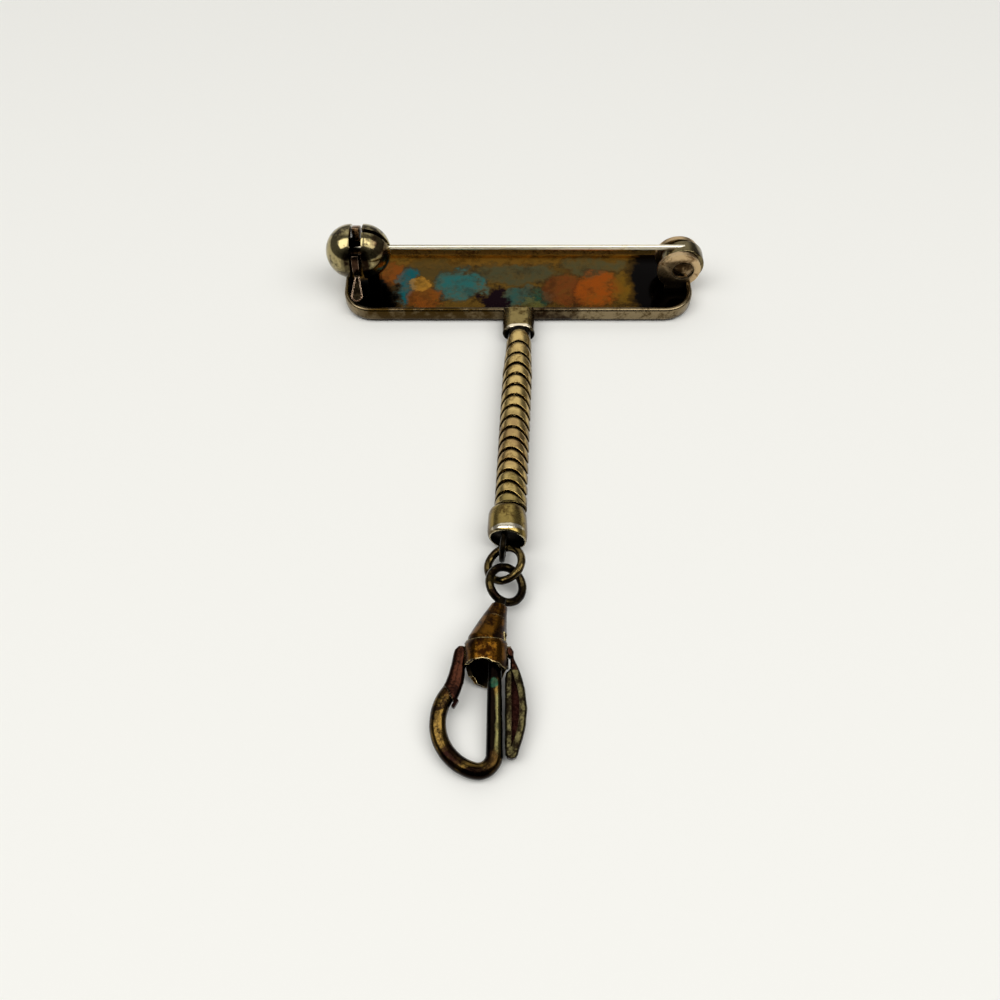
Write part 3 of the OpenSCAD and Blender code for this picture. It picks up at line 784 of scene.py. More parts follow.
@dataclass(frozen=True)
class StampedBar:
    """The hollow bar: a stamped tray with a round rim, hinge ears and the catch's half balls.

    Attributes:
        length, width, height: outer size.
        corner: radius of its corners from above.
        sheet: thickness of the metal.
        score: spacing of the lines across the tray, along which it can be dented.
        rim, fillet, edge: roundings of the rim, the floor's corner and the front's edge.
        relief_r: radius of the relief under the knuckle.
        root: height inside the tray where soldered feet begin.
        ear_x, ear_r, ear_gap, ear_sheet: place, radius, spacing and thickness of the ears.
        ear_foot: where an ear's foot begins and ends along X, from its middle.
        sink_r, sink_depth: countersink around the rivet's heads.
        ball_r: radius of the half balls.
        outer_face, inner_face: where their flat faces are, along X.
        outer_foot, inner_foot, foot, foot_top: their feet's lengths, half width and height.
        stem_slot: width of the pin's slot.
        hub_r: radius of the lock's hub, with play.
    """

    length: float = 35.0
    width: float = 9.6
    height: float = 1.6
    corner: float = 3.0
    sheet: float = 0.6
    score: float = 1.25
    rim: float = 0.28
    fillet: float = 0.1
    edge: float = 0.5
    relief_r: float = 2.28
    root: float = 0.3
    ear_x: float = 16.05
    ear_r: float = 2.15
    ear_gap: float = 1.75
    ear_sheet: float = 0.45
    ear_foot: tuple[float, float] = (-1.1, 1.2)
    sink_r: float = 1.1
    sink_depth: float = 0.2
    ball_r: float = 2.62
    outer_face: float = -16.5
    inner_face: float = -15.3
    outer_foot: float = 0.98
    inner_foot: float = 1.25
    foot: float = 0.8
    foot_top: float = 2.5
    stem_slot: float = 0.5
    hub_r: float = 1.35

    def build(self) -> None:
        """Builds the bar's pieces, all soldered together."""
        self.build_tray()
        self.build_ear(-1, "hinge_ear_near")
        self.build_ear(1, "hinge_ear_far")
        self.build_half_ball(self.outer_face, -1, "catch_ball_outer")
        self.build_half_ball(self.inner_face, 1, "catch_ball_inner")

    def build_tray(self) -> None:
        """The tray: a block with round corners, sunk inside, its rim and edges rounded over."""
        half = (self.length / 2, self.width / 2)
        bench = Bench().block((-half[0], -half[1], 0), (*half, self.height))
        mesh = bench.mesh
        upright = [e for e in mesh.edges if (e.verts[0].co - e.verts[1].co).xy.length < 1e-6]
        bench.bevel(upright, self.corner, 14)
        top = max(mesh.faces, key=lambda face: face.calc_center_median().z)
        bench.sink(top, self.sheet, (0, 0, self.sheet - self.height))
        bench.soften(self.rim, 4, where=lambda middle: middle.z > self.height - 0.01)
        bench.soften(self.fillet, 2, where=lambda middle: abs(middle.z - self.sheet) < 0.01)
        bench.soften(self.edge, 4, where=lambda middle: middle.z < 0.01)
        for step in range(-13, 14):
            bench.cut((step * self.score, 0, 0), (1, 0, 0))
        for y in (-3.2, -1.8, PIN_Y - 0.96, PIN_Y - 0.88, PIN_Y + 0.88, PIN_Y + 0.96, 2.8):
            bench.cut((0, y, 0), (0, 1, 0))
        bench.wobble(0.03, 2.6)
        bench.join(Join.CARVE, Bench().round(self.relief_r, self.ear_gap, frame_at(HINGE, (Axis.X, 90))))
        # The far inner wall takes the paler finish as painted light
        bench.accent(1, self.inside).accent(2, self.far_wall)
        bench.finish("bar_tray", RIM, "base", "bar", ["bar"], others=[TRAY, WALL])

    def inside(self, middle: Vector, normal: Vector) -> bool:
        """Whether a face of the tray is inside it."""
        over_x = max(abs(middle.x) - self.length / 2 + self.corner, 0)
        over_y = max(abs(middle.y) - self.width / 2 + self.corner, 0)
        return math.hypot(over_x, over_y) < self.corner - self.sheet + 0.08 and middle.z > self.sheet / 2

    def far_wall(self, middle: Vector, normal: Vector) -> bool:
        """Whether a face is on the far inner wall, away from its corners."""
        high = middle.z > self.sheet + 0.03 and middle.y > 4
        return high and normal.y < -0.55 and abs(middle.x) < self.length / 2 - self.corner + 0.3

    def build_ear(self, side: int, name: str) -> None:
        """One round ear, with its foot and a countersink for the rivet's head.

        Args:
            side: -1 for the near ear, 1 for the far one.
            name: the piece's name.
        """
        y = PIN_Y + side * (self.ear_gap + self.ear_sheet) / 2
        half = self.ear_sheet / 2
        outer = y + side * (half - self.sink_depth + 0.5)
        low, high = (self.ear_x + end for end in self.ear_foot)
        foot = Bench().block((low, y - half, self.root), (high, y + half, self.height - 0.1))
        sink = Bench().round(self.sink_r, 1.0, frame_at((HINGE[0], outer, HINGE[2]), (Axis.X, 90)))
        bench = Bench().round(self.ear_r, self.ear_sheet, frame_at((self.ear_x, y, HINGE[2]), (Axis.X, 90)))
        bench.join(Join.FUSE, foot).join(Join.CARVE, sink).soften(0.06)
        bench.finish(name, EAR, "base", "bar")

    def build_half_ball(self, face: float, side: int, name: str) -> None:
        """One half ball with its foot, the hub's recess and, on the inner one, the pin's slot.

        Args:
            face: place of its flat face along X.
            side: -1 for the outer half, 1 for the inner one.
            name: the piece's name.
        """
        middle = (self.outer_face + self.inner_face) / 2
        hub = frame_at((middle, PIN_Y, BALL_Z), (Axis.Y, 90))
        bench = Bench().ball(self.ball_r, (face, PIN_Y, BALL_Z)).cut((face, 0, 0), (-side, 0, 0), clear=True)
        bench.join(Join.CARVE, Bench().round(self.hub_r, self.inner_face - self.outer_face + 0.8, hub))
        low, high = face - self.outer_foot, face
        if side > 0:
            low, high = face, face + self.inner_foot
            half = self.stem_slot / 2
            slot = Bench().block((face - 0.5, PIN_Y - half, STEM_Z - half), (face + 8, PIN_Y + half, 12))
            bench.join(Join.CARVE, slot)
        foot = Bench().block((low, PIN_Y - self.foot, self.root), (high, PIN_Y + self.foot, self.foot_top))
        bench.soften(0.05).add(foot.soften(0.15, 3))
        bench.finish(name, BALL, "base", "bar")


@dataclass(frozen=True)
class Ferrule:
    """The flattened tube on the near wall that holds the chain.

    Attributes:
        width, height: outer size of its flat-sided section.
        wall: thickness.
        back, mouth: its ends, as distances from the bar's middle line.
        depth: how deep it is hollow.
        middle: height of its middle.
        wave: depth of the mouth's waves, crimped round the first scale.
    """

    width: float = 3.2
    height: float = 2.3
    wall: float = 0.35
    back: float = 4.2
    mouth: float = 7.7
    depth: float = 2.5
    middle: float = 1.18
    wave: float = 0.06

    def build(self) -> None:
        """Builds the tube from a rod that is spread sideways, hollowed and cut at a slant."""
        place = frame_at((0, -(self.back + self.mouth) / 2, self.middle), (Axis.X, 90))
        bench = Bench().round(self.height / 2, self.mouth - self.back, place, segments=56)
        for vert in bench.mesh.verts:
            if abs(vert.co.x) > 0.01:
                vert.co.x += math.copysign((self.width - self.height) / 2, vert.co.x)
        front = min(bench.mesh.faces, key=lambda face: face.calc_center_median().y)
        bench.sink(front, self.wall, (0, self.depth, 0))
        bench.soften(0.16, 3, where=lambda middle: middle.y < 0.01 - self.mouth)
        bench.cut((0, -self.back - 0.4, self.middle + 0.75), (0, 0.7071, 0.7071), clear=True).soften(0.07)
        for step in range(1, 9):
            bench.cut((0, -self.back - 0.4 * step, 0), (0, 1, 0))
        for vert in bench.mesh.verts:
            reach = within((-vert.co.y - self.mouth + 0.5) / 0.5)
            vert.co.y += self.wave * reach * (1 + math.sin(vert.co.x * 3.4))
        # Painted shade: black low in the mouth and inside it
        bench.wobble(0.1, 0.7, seed=3.0, stretch=3.0).accent(1, self.in_mouth)
        bench.finish("chain_ferrule", TUBE, "base", "bar", others=[SHADE])

    def in_mouth(self, middle: Vector, normal: Vector) -> bool:
        """Whether a face near the mouth is low down or inside."""
        return middle.y < 0.5 - self.mouth and (middle.z < 1.7 or normal.y > -0.2 and normal.z < 0.2)


@dataclass(frozen=True)
class HingedPin:
    """The pin: a strap-like knuckle round the rivet and a tapered stem with its point.

    Attributes:
        knuckle_r, knuckle_w, bore_r: the knuckle.
        root_d, tip_d: the stem's diameters.
        tip_x, point: where it ends, and the length of its point.
    """

    knuckle_r: float = 2.13
    knuckle_w: float = 1.55
    bore_r: float = 0.64
    root_d: float = 0.56
    tip_d: float = 0.38
    tip_x: float = -16.35
    point: float = 1.1

    def build(self) -> None:
        """Builds the pin and dresses its rivet."""
        half = self.knuckle_w / 2
        section = [(-half, self.bore_r), (-half, self.knuckle_r), (half, self.knuckle_r), (half, self.bore_r)]
        bench = Bench().turned(section, closed=True, steps=96).soften(0.14, 3)
        bench.mesh.transform(frame_at(HINGE))
        length = HINGE[0] - self.tip_x
        taper = length - self.point
        stem = Bench().turned([
            (0, 0), (0, self.root_d / 2), (taper * 0.5, (self.root_d + self.tip_d) / 4 + 0.005),
            (taper, self.tip_d / 2), (taper + 0.6, 0.13), (length - 0.05, 0.04), (length, 0)], steps=24)
        stem.mesh.transform(frame_at((HINGE[0], PIN_Y, STEM_Z), (Axis.Z, -90)))
        bench.add(stem.accent(1, lambda middle, normal: True))
        bench.finish("pin_with_knuckle", KNUCKLE, "pin", "stem", ["pin_stem"], others=[STEM])
        dress_node("hinge_rivet", RIVET)


@dataclass(frozen=True)
class CatchLock:
    """The turning lock: a notched plate, a hub through both half balls and a teardrop thumb tab.

    Attributes:
        centre: the ball's centre.
        radius, thickness: the plate.
        hub_r, seat_r, hub_length: the hub and the hole that the pin's end lies in.
        notch_low, notch_y: the notch's slanted side, as an angle, and its upright side.
        tab_angle, tab_reach, tab_r, tab_sheet: the tab's direction, reach, end radius and thickness.
        tab_neck, tab_start: radius and place of its narrow end.
        neck: half width of the bar from the hub to it.
        tab_rim, dish: width of its raised rim and depth of its hollow on each side.
    """

    centre: Point = (-16.0, PIN_Y, BALL_Z)
    radius: float = 2.47
    thickness: float = 0.7
    hub_r: float = 1.3
    seat_r: float = 1.0
    hub_length: float = 1.9
    notch_low: float = 150.0
    notch_y: float = 0.45
    tab_angle: float = 210.0
    tab_reach: float = 5.15
    tab_r: float = 0.58
    tab_sheet: float = 0.42
    tab_neck: float = 0.22
    tab_start: float = 2.5
    neck: float = 0.2
    tab_rim: float = 0.17
    dish: float = 0.2

    def build(self) -> None:
        """Builds the lock in the plane of its plate, where X points to +Y and Y points up."""
        low = math.radians(self.notch_low)
        notch = Bench().block((-4, 0, -3), (self.notch_y, 4, 3))
        notch.cut((0, 0, 0), (-math.sin(low), math.cos(low), 0), clear=True)
        bench = Bench().round(self.radius, self.thickness)
        bench.join(Join.FUSE, Bench().round(self.hub_r, self.hub_length, frame_at((0, 0, 0.1))))
        bench.join(Join.CARVE, Bench().round(self.seat_r, 4.0), notch)
        bench.soften(0.06).add(self.tab())
        bench.finish("catch_lock_with_tab", LOCK, "lock", "lock", ["catch_lock"],
                     frame_at(self.centre, (Axis.X, 90), (Axis.Y, 90)), [SHADE])

    def tab(self) -> Bench:
        """The teardrop tab on its neck, hollowed so that its rim stands up.

        Returns:
            The tab on a bench of its own, in the lock's frame.
        """
        half = self.tab_sheet / 2
        bench = Bench().round(self.tab_r, self.tab_sheet, frame_at((self.tab_reach - self.tab_r, 0, 0)), 40)
        bench.round(self.tab_neck, self.tab_sheet, frame_at((self.tab_start, 0, 0)), 24)
        mesh = bench.mesh
        bmesh.ops.delete(mesh, geom=list(mesh.edges), context="EDGES_FACES")
        bmesh.ops.convex_hull(mesh, input=mesh.verts)
        bmesh.ops.delete(mesh, geom=[vert for vert in mesh.verts if not vert.link_edges], context="VERTS")
        bmesh.ops.dissolve_limit(mesh, angle_limit=math.radians(2), verts=mesh.verts, edges=mesh.edges)
        for sign in (1, -1):
            flat = max(mesh.faces, key=lambda face: sign * face.calc_center_median().z)
            bench.sink(flat, self.tab_rim, (0, 0, -sign * self.dish))
        bench.soften(0.05)
        # Painted shade: black on the floors of the tab's hollows
        bench.accent(1, lambda middle, normal: abs(normal.z) > 0.7 and abs(middle.z) < half - 0.06)
        bench.block((self.hub_r - 0.4, -self.neck, -half), (self.tab_start + 0.25, self.neck, half))
        # Painted shade on the neck bar
        bench.accent(1, lambda middle, normal: middle.x < self.tab_start - 0.1)
        mesh.transform(frame_at((0, 0, 0), (Axis.Z, self.tab_angle), (Axis.X, 90)))
        return bench


# The drop


@dataclass(frozen=True)
class SnakeChain:
    """The chain: a crimped tail with a plate on it, and fifteen arched scales.

    Attributes:
        radius: the chain's radius.
        wall: thickness of a scale.
        scales: how many.
        first, pitch, loss, second: where scales begin along the axis.
        gap: open line between two scales.
        lap: how far a scale reaches under the one above.
        arch: radius of the arch of a scale's edge.
        end: where the last scale ends.
        tucked: where the plate on the tail begins, almost in the ferrule.
        tuck, slimmer: how far a scale's upper edge is drawn in, as a share of the radius, and how much
            smaller the first scale and then the plate are than the rest.
        tail_drop: how far the tail in the ferrule lies off the chain's axis.
    """

    radius: float = 1.4
    wall: float = 0.14
    scales: int = 15
    first: float = 2.19
    pitch: float = 1.34
    loss: float = 0.008
    second: float = 0.19
    gap: float = 0.16
    lap: float = 0.1
    arch: float = 1.54
    end: float = 20.52
    tucked: float = 0.4
    tuck: float = 0.15
    slimmer: float = 0.08
    tail_drop: float = -0.24

    def start(self, index: int) -> float:
        """Where a scale's apex is along the axis."""
        return self.first + self.pitch * index - self.loss * index * index + (self.second if index else 0)

    def build(self) -> None:
        """Builds the scales as one piece, and the tail."""
        bench = Bench()
        for index in range(-1, self.scales):
            bench.add(self.scale(index))
        bench.wobble(0.02, 0.7, seed=7.0)
        bench.finish("snake_chain_scales", SCALE, "base", "chain", ["snake_chain"], CHAIN, [SHADE])
        # The tail, deep in the ferrule, is all painted shade
        tail = Bench().round(0.6, 2.2, frame_at((0, 0.9, self.tail_drop), (Axis.X, 90)))
        tail.round(1.1, self.first + 0.3, frame_at((0, -self.first / 2 - 0.15, 0), (Axis.X, 90)))
        tail.finish("snake_chain_tail", SHADE, "base", "chain", place=CHAIN)

    def scale(self, index: int) -> Bench:
        """One scale: a band of tube, bulged in the middle, between two arched edges.

        Args:
            index: its number from the bar, -1 for the plate on the tail.

        Returns:
            The scale on a bench of its own.
        """
        bench = Bench().tube(56, 9)
        twist = math.radians(-2 - 1.6 * index)
        radius = self.radius - self.slimmer * max(1 - index, 0)
        last = index == self.scales - 1
        upper = self.start(index) if index >= 0 else self.tucked
        lower = self.end if last else self.start(index + 1) - self.gap
        for vert in bench.mesh.verts:
            share = 0.5 - vert.co.y
            around = math.atan2(vert.co.x, vert.co.z)
            # The upper edge is tucked under the lip of the scale above
            r = radius * (1 - self.tuck * max(1 - share / 0.4, 0) ** 1.5)
            across = r * math.sin(around - twist)
            arch = self.arch - math.sqrt(max(self.arch ** 2 - across ** 2, 0))
            top = min(upper - self.lap + arch, self.end - 0.3)
            bottom = lower + (0 if last else arch)
            vert.co = (r * math.sin(around), -(top + (bottom - top) * share), r * math.cos(around))
        # Painted shade where a scale is drawn in under the one above
        for face in bench.mesh.faces:
            face.material_index = int(all(math.hypot(v.co.x, v.co.z) < 0.93 * radius for v in face.verts))
        return bench.thicken(self.wall).soften(0.05, angle=50)


@dataclass(frozen=True)
class EndCap:
    """The spun cup on the chain's end, with a wire loop in its mouth.

    Attributes:
        slant: slope of the mouth in degrees.
        floor: where the mouth is closed, with the loop in front of it.
        loop_r, loop_wire: the loop's mean radius and its wire's.
    """

    slant: float = 10.0
    floor: float = 2.4
    loop_r: float = 1.14
    loop_wire: float = 0.24

    def build(self) -> None:
        """Builds the cup and the loop."""
        cup = Bench().turned([
            (0, 0), (0, 1.12), (0.07, 1.36), (0.22, 1.52), (0.45, 1.6), (0.95, 1.655), (1.5, 1.685),
            (2.1, 1.685), (2.4, 1.68), (2.62, 1.655), (2.78, 1.61), (2.9, 1.54), (2.95, 1.46), (2.92, 1.41),
            (2.8, 1.38), (2.6, 1.36), (self.floor + 0.02, 1.34), (self.floor, 1.2), (self.floor, 0)])
        slope = math.tan(math.radians(self.slant))
        for vert in cup.mesh.verts:
            vert.co.y -= vert.co.x * slope * within((-vert.co.y - 2.0) / 0.9)
        # Painted shade: black inside the mouth
        cup.accent(1, lambda middle, normal: middle.y < -2.3 and middle.xz.length < 1.43)
        cup.wobble(0.04, 0.8, seed=11.0)
        cup.finish("chain_end_cup", CUP, "base", "cap", ["end_cap"], CAP, [SHADE])
        # The loop in the mouth is all painted shade
        loop = Bench().wire_ring(self.loop_r, self.loop_wire)
        loop.finish("cup_wire_loop", SHADE, "base", "cap", place=LOOP)


@dataclass(frozen=True)
class SplitRing:
    """The jump ring, bent from wire, with its ends a little apart.

    Attributes:
        radius, wire: mean radius and the wire's radius.
        split, opening: where its ends meet and how far they are apart, in degrees.
    """

    radius: float = 1.53
    wire: float = 0.35
    split: float = 74.0
    opening: float = 3.2

    def build(self) -> None:
        """Builds the ring."""
        bench = Bench().wire_ring(self.radius, self.wire, self.split + self.opening / 2, 360 - self.opening)
        bench.soften(0.05).wobble(0.03, 0.6, seed=5.0)
        bench.finish("split_jump_ring", LINK, "base", "ring", ["jump_ring"], RING)


@dataclass(frozen=True)
class SwivelEye:
    """The eye and its headed shank, which turns in the barrel.

    Attributes:
        radius, wire: the eye's mean radius and its wire's.
        shank_r, shank_end: the shank's radius and end.
        head_r, head: radius and length of its head.
    """

    radius: float = 1.5
    wire: float = 0.36
    shank_r: float = 0.45
    shank_end: float = 3.4
    head_r: float = 0.75
    head: float = 0.45

    def build(self) -> None:
        """Builds the eye and the shank."""
        eye = Bench().wire_ring(self.radius, self.wire).wobble(0.03, 0.6, seed=9.0)
        # The eye takes the blacker copy of the links' finish, as painted shade
        eye.finish("swivel_eye_ring", SHADED_LINK, "base", "eye", ["swivel_eye"], EYE)
        top, bottom = self.radius - 0.1, self.shank_end + self.head
        shank = Bench().turned([(top, 0), (top, self.shank_r), (self.shank_end, self.shank_r),
                                (self.shank_end + 0.01, self.head_r), (bottom, 0.6), (bottom, 0)])
        # The shank inside the barrel is all painted shade
        shank.finish("swivel_shank", SHADE, "base", "eye", place=SWIVEL)


# The clip


@dataclass(frozen=True)
class ClipBody:
    """The clip: a tapered barrel, a collar with a torn-looking mouth, and the bent wire hook.

    Attributes:
        outer, inner: the barrel's outline and its bore, as distance down the swivel's axis and radius.
        bore: radius of the room for the gate's boss.
        collar_r, collar_wall: the collar's radius and wall.
        collar_top, crown: where it begins above the gate's pivot, and how much it is drawn in there.
        lip: how far its lower wall is drawn in.
        marks: its mouth, as an angle from the right side through the top, and how far down it reaches.
        window: half height of its windows.
        wire, arm_wire: the hook's wire radii, at its tip and in the collar.
        curve_c, curve_r, curve_start: centre, radius and start angle of the long curve.
        foot_c: centre of the tight curve.
        arm_x, arm_top: the straight arm's place, and where it ends in the collar.
        arm_steps: rings along the arm.
    """

    outer: tuple[tuple[float, float], ...] = (
        (2.05, 0.52), (2.05, 0.68), (2.12, 0.745), (2.6, 0.87), (3.2, 1.03), (3.9, 1.215), (4.6, 1.4),
        (5.2, 1.55), (5.45, 1.61), (5.55, 1.63), (5.62, 1.6), (5.9, 1.58), (6.3, 1.44), (6.3, 1.2))
    inner: tuple[tuple[float, float], ...] = ((5.6, 1.28), (3.4, 0.86), (3.4, 0.5))
    bore: float = 1.42
    collar_r: float = 1.74
    collar_wall: float = 0.32
    collar_top: float = 0.75
    crown: float = 0.12
    lip: float = 0.34
    marks: tuple[tuple[float, float], ...] = (
        (-180, 1.5), (-150, 1.8), (-125, 2.3), (-90, 2.5), (-60, 2.6), (-38, 2.2), (-20, 1.3), (20, 1.28),
        (30, 1.6), (42, 1.5), (56, 1.25), (72, 1.2), (84, 1.02), (100, 0.94), (112, 0.99), (128, 0.95),
        (150, 1.1), (180, 1.5))
    window: float = 0.58
    wire: float = 0.66
    arm_wire: float = 0.56
    curve_c: tuple[float, float] = (0.01, -5.406)
    curve_r: float = 3.6
    curve_start: float = 134.0
    foot_c: tuple[float, float] = (-0.55, -7.74)
    arm_x: float = 0.65
    arm_top: float = -0.85
    arm_steps: int = 12

    def build(self) -> None:
        """Builds the barrel, the collar and the hook, all soldered together."""
        self.build_barrel()
        self.build_collar()
        self.build_hook()
        # The gate's pin, kept from the CAD, is all painted shade
        dress_node("gate_pin", SHADE)

    def build_barrel(self) -> None:
        """The barrel: turned, bored for the shank, its round lower end inside the collar."""
        bench = Bench().turned(self.outer + self.inner, closed=True)
        for step in range(12):
            bench.cut((0, -2.3 - 0.27 * step, 0), (0, 1, 0))
        hook = SWIVEL.inverted() @ HOOK
        room = Bench().round(self.bore, 3.5, hook @ frame_at((0, -1.25, 0), (Axis.X, 90)))
        bench.join(Join.CARVE, room, *self.windows(hook)).wobble(0.14, 0.8, seed=13.0, stretch=4.0)
        bench.finish("swivel_barrel", BARREL, "clip", "clip", ["clip_body"], SWIVEL)

    def windows(self, place: Matrix) -> list[Bench]:
        """The blocks that cut the lever's and the gate's windows, in the hook's frame at a place."""
        return [Bench().block((1, -0.6, -self.window), (2.4, 1.35, self.window), place),
                Bench().block((-2.4, -1.9, -self.window), (-1, 0.6, self.window), place)]

    def mouth(self, around: float) -> float:
        """How far the collar reaches along -Y, by the angle round it.

        Args:
            around: degrees from the right side, through the top.

        Returns:
            The reach in millimetres.
        """
        for (low, at_low), (high, at_high) in zip(self.marks, self.marks[1:]):
            if low <= around <= high:
                share = (around - low) / (high - low)
                return at_low + (at_high - at_low) * share * share * (3 - 2 * share)
        return self.marks[0][1]

    def build_collar(self) -> None:
        """The collar: a sheet tube, its mouth drawn out below, with a window on each side."""
        bench = Bench().tube(144, 13)
        for vert in bench.mesh.verts:
            around = math.degrees(math.atan2(vert.co.z, vert.co.x))
            reach = -self.collar_top + (self.mouth(around) + self.collar_top) * (0.5 - vert.co.y)
            below = within((reach - 0.9) / 1.2) * (self.lip if vert.co.z < -0.2 else 0.0)
            scale = self.collar_r - below - self.crown * within((-reach - 0.45) / 0.3)
            vert.co = (vert.co.x * scale, -reach, vert.co.z * scale)
        bench.thicken(self.collar_wall).join(Join.CARVE, *self.windows(WORLD))
        bench.soften(0.06, angle=45).wobble(0.04, 0.7, seed=17.0)
        # Painted shade: black on the collar's inner faces
        bench.accent(1, lambda middle, normal: middle.xz.dot(normal.xz) < -0.25 * middle.xz.length)
        bench.finish("clip_collar", BARREL, "clip", "clip", place=HOOK, others=[SHADE])

    def build_hook(self) -> None:
        """The hook: one round wire, bent by two spins and drawn up straight into the collar."""
        bench = Bench()
        mesh = bench.mesh
        turn = frame_at((*self.curve_c, 0), (Axis.Z, self.curve_start))
        geometry = bench.circle(self.wire, 36, turn @ frame_at((self.curve_r, 0, 0), (Axis.X, 90)))
        away = Vector(self.foot_c) - Vector(self.curve_c)
        join = math.degrees(math.atan2(away.y, away.x)) + 360
        bends = ((self.curve_c, join - self.curve_start, 64), (self.foot_c, 360 - join, 36))
        for centre, angle, steps in bends:
            geometry = bmesh.ops.spin(mesh, geom=geometry, cent=(*centre, 0), axis=(0, 0, 1),
                                      angle=math.radians(angle), steps=steps)["geom_last"]
        rise = (self.arm_top - self.foot_c[1]) / self.arm_steps
        shrink = (self.arm_wire / self.wire) ** (1 / self.arm_steps)
        for step in range(self.arm_steps):
            edges = [item for item in geometry if isinstance(item, bmesh.types.BMEdge)]
            geometry = bmesh.ops.extrude_edge_only(mesh, edges=edges)["geom"]
            verts = [item for item in geometry if isinstance(item, bmesh.types.BMVert)]
            geometry = verts + [item for item in geometry if isinstance(item, bmesh.types.BMEdge)
                                and all(vert in verts for vert in item.verts)]
            bmesh.ops.translate(mesh, verts=verts, vec=(0, rise, 0))
            middle = Vector((self.arm_x, sum(vert.co.y for vert in verts) / len(verts), 0))
            bmesh.ops.scale(mesh, verts=verts, vec=(shrink, 1, shrink), space=Matrix.Translation(-middle))
        bench.close_ends()
        # The slant is cut only at the hook's tip, not at its arm
        knife = Bench().block((SCARF_GAP, -3, -2), (5, 3, 2), SCARF).cut((-0.6, 0, 0), (1, 0, 0), clear=True)
        bench.face_out().join(Join.CARVE, knife).soften(0.07, angle=50).wobble(0.05, 1.1, seed=19.0)
        bench.block((self.arm_x - 0.35, -1.15, -1.5), (self.arm_x + 0.35, -0.8, 0))
        bench.finish("clip_hook", BENT, "clip", "clip", place=HOOK)


@dataclass(frozen=True)
class GateLever:
    """The gate, cross bar and hollow thumb lever, one forging that turns in the collar.

    Attributes:
        half: half of its thickness.
        gate: Y, left and right of the gate's outline, downwards.
        lever: the same of the lever.
        trough_c, trough_r: the arc of the lever's trough.
        trough_x, trough_floor: the trough's inner side and its floor's height.
        boss_r, boss: radius and height of the boss round the pin.
        bar_low, bar_high: corners of the cross bar.
        gate_round, lever_round: roundness of the gate's section and the lever's.
        nib: half sizes of the nib.
    """

    half: float = 0.5
    gate: tuple[Row, ...] = (
        (0.45, -1.95, -1.91), (0.36, -2.22, -1.62), (0.15, -2.45, -1.4), (-0.17, -2.55, -1.33),
        (-1.02, -2.69, -1.54), (-1.75, -2.88, -1.6), (-2.42, -3.11, -1.67), (-3.1, -3.5, -1.9),
        (-3.85, -3.55, -2.2), (-4.15, -3.5, -2.45))
    lever: tuple[Row, ...] = (
        (0.38, 1.72, 1.78), (0.25, 1.5, 2.0), (-0.02, 1.42, 2.16), (-0.35, 1.6, 2.14), (-0.6, 1.84, 2.18),
        (-1.35, 1.84, 2.53), (-1.68, 1.5, 2.67), (-2.1, 1.4, 2.8), (-2.9, 1.4, 3.0), (-4.35, 1.4, 3.15),
        (-5.6, 1.4, 3.04), (-6.6, 1.4, 2.8), (-7.3, 1.4, 2.55), (-7.8, 1.42, 2.42), (-8.05, 1.58, 2.28),
        (-8.17, 1.86, 2.0))
    trough_c: tuple[float, float] = (-4.45, -4.35)
    trough_r: float = 6.98
    trough_x: float = 1.9
    trough_floor: float = -0.2
    boss_r: float = 0.74
    boss: float = 1.08
    bar_low: Point = (-1.9, -0.33, -0.4)
    bar_high: Point = (1.9, 0.33, 0.4)
    gate_round: float = 0.8
    lever_round: float = 0.62
    nib: Point = (0.14, 0.36, 0.33)

    def build(self) -> None:
        """Forges the gate and the lever, hollows the lever and joins both with the cross bar."""
        bench = Bench().limb(self.gate, self.half, self.gate_round)
        bench.cut(SCARF @ Vector((SCARF_GAP, 0, 0)), SCARF.to_3x3() @ Vector((-1, 0, 0)), clear=True)
        bench.soften(0.05, angle=50).wobble(0.04, 0.9, seed=21.0)
        trough = Bench().round(self.trough_r, 2, frame_at((*self.trough_c, 1 + self.trough_floor)), 128)
        trough.cut((self.trough_x, 0, 0), (-1, 0, 0), clear=True)
        lever = Bench().limb(self.lever, self.half, self.lever_round).join(Join.CARVE, trough)
        lever.soften(0.14, 3, angle=50, where=lambda middle: middle.y < -1.7).wobble(0.05, 0.9, seed=23.0)
        # Olive on faces that look up, part rub and part painted sheen; the trough darker, patina and painted
        # shade
        lever.accent(2, lambda middle, normal: normal.z > 0.35 and middle.y < -1.5).accent(1, self.in_trough)
        # Nib that laps the inside of the hook's tip, darker as painted shade
        nib = Bench().block(-Vector(self.nib), self.nib, NIB)
        nib.soften(0.08).accent(1, lambda middle, normal: True)
        bar, boss = Bench().block(self.bar_low, self.bar_high), Bench().round(self.boss_r, self.boss)
        bench.add(lever, bar, boss, nib)
        bench.finish("gate_and_thumb_lever", PATINA, "gate", "gate", ["gate_lever"], HOOK, [GROOVE, RUBBED_AND_SHEEN])

    def in_trough(self, middle: Vector, normal: Vector) -> bool:
        """Whether a face of the lever is inside its trough."""
        near = (middle.xy - Vector(self.trough_c)).length < self.trough_r + 0.03
        return near and middle.x > self.trough_x - 0.03 and self.trough_floor - 0.05 < middle.z < 0.4


# Stage


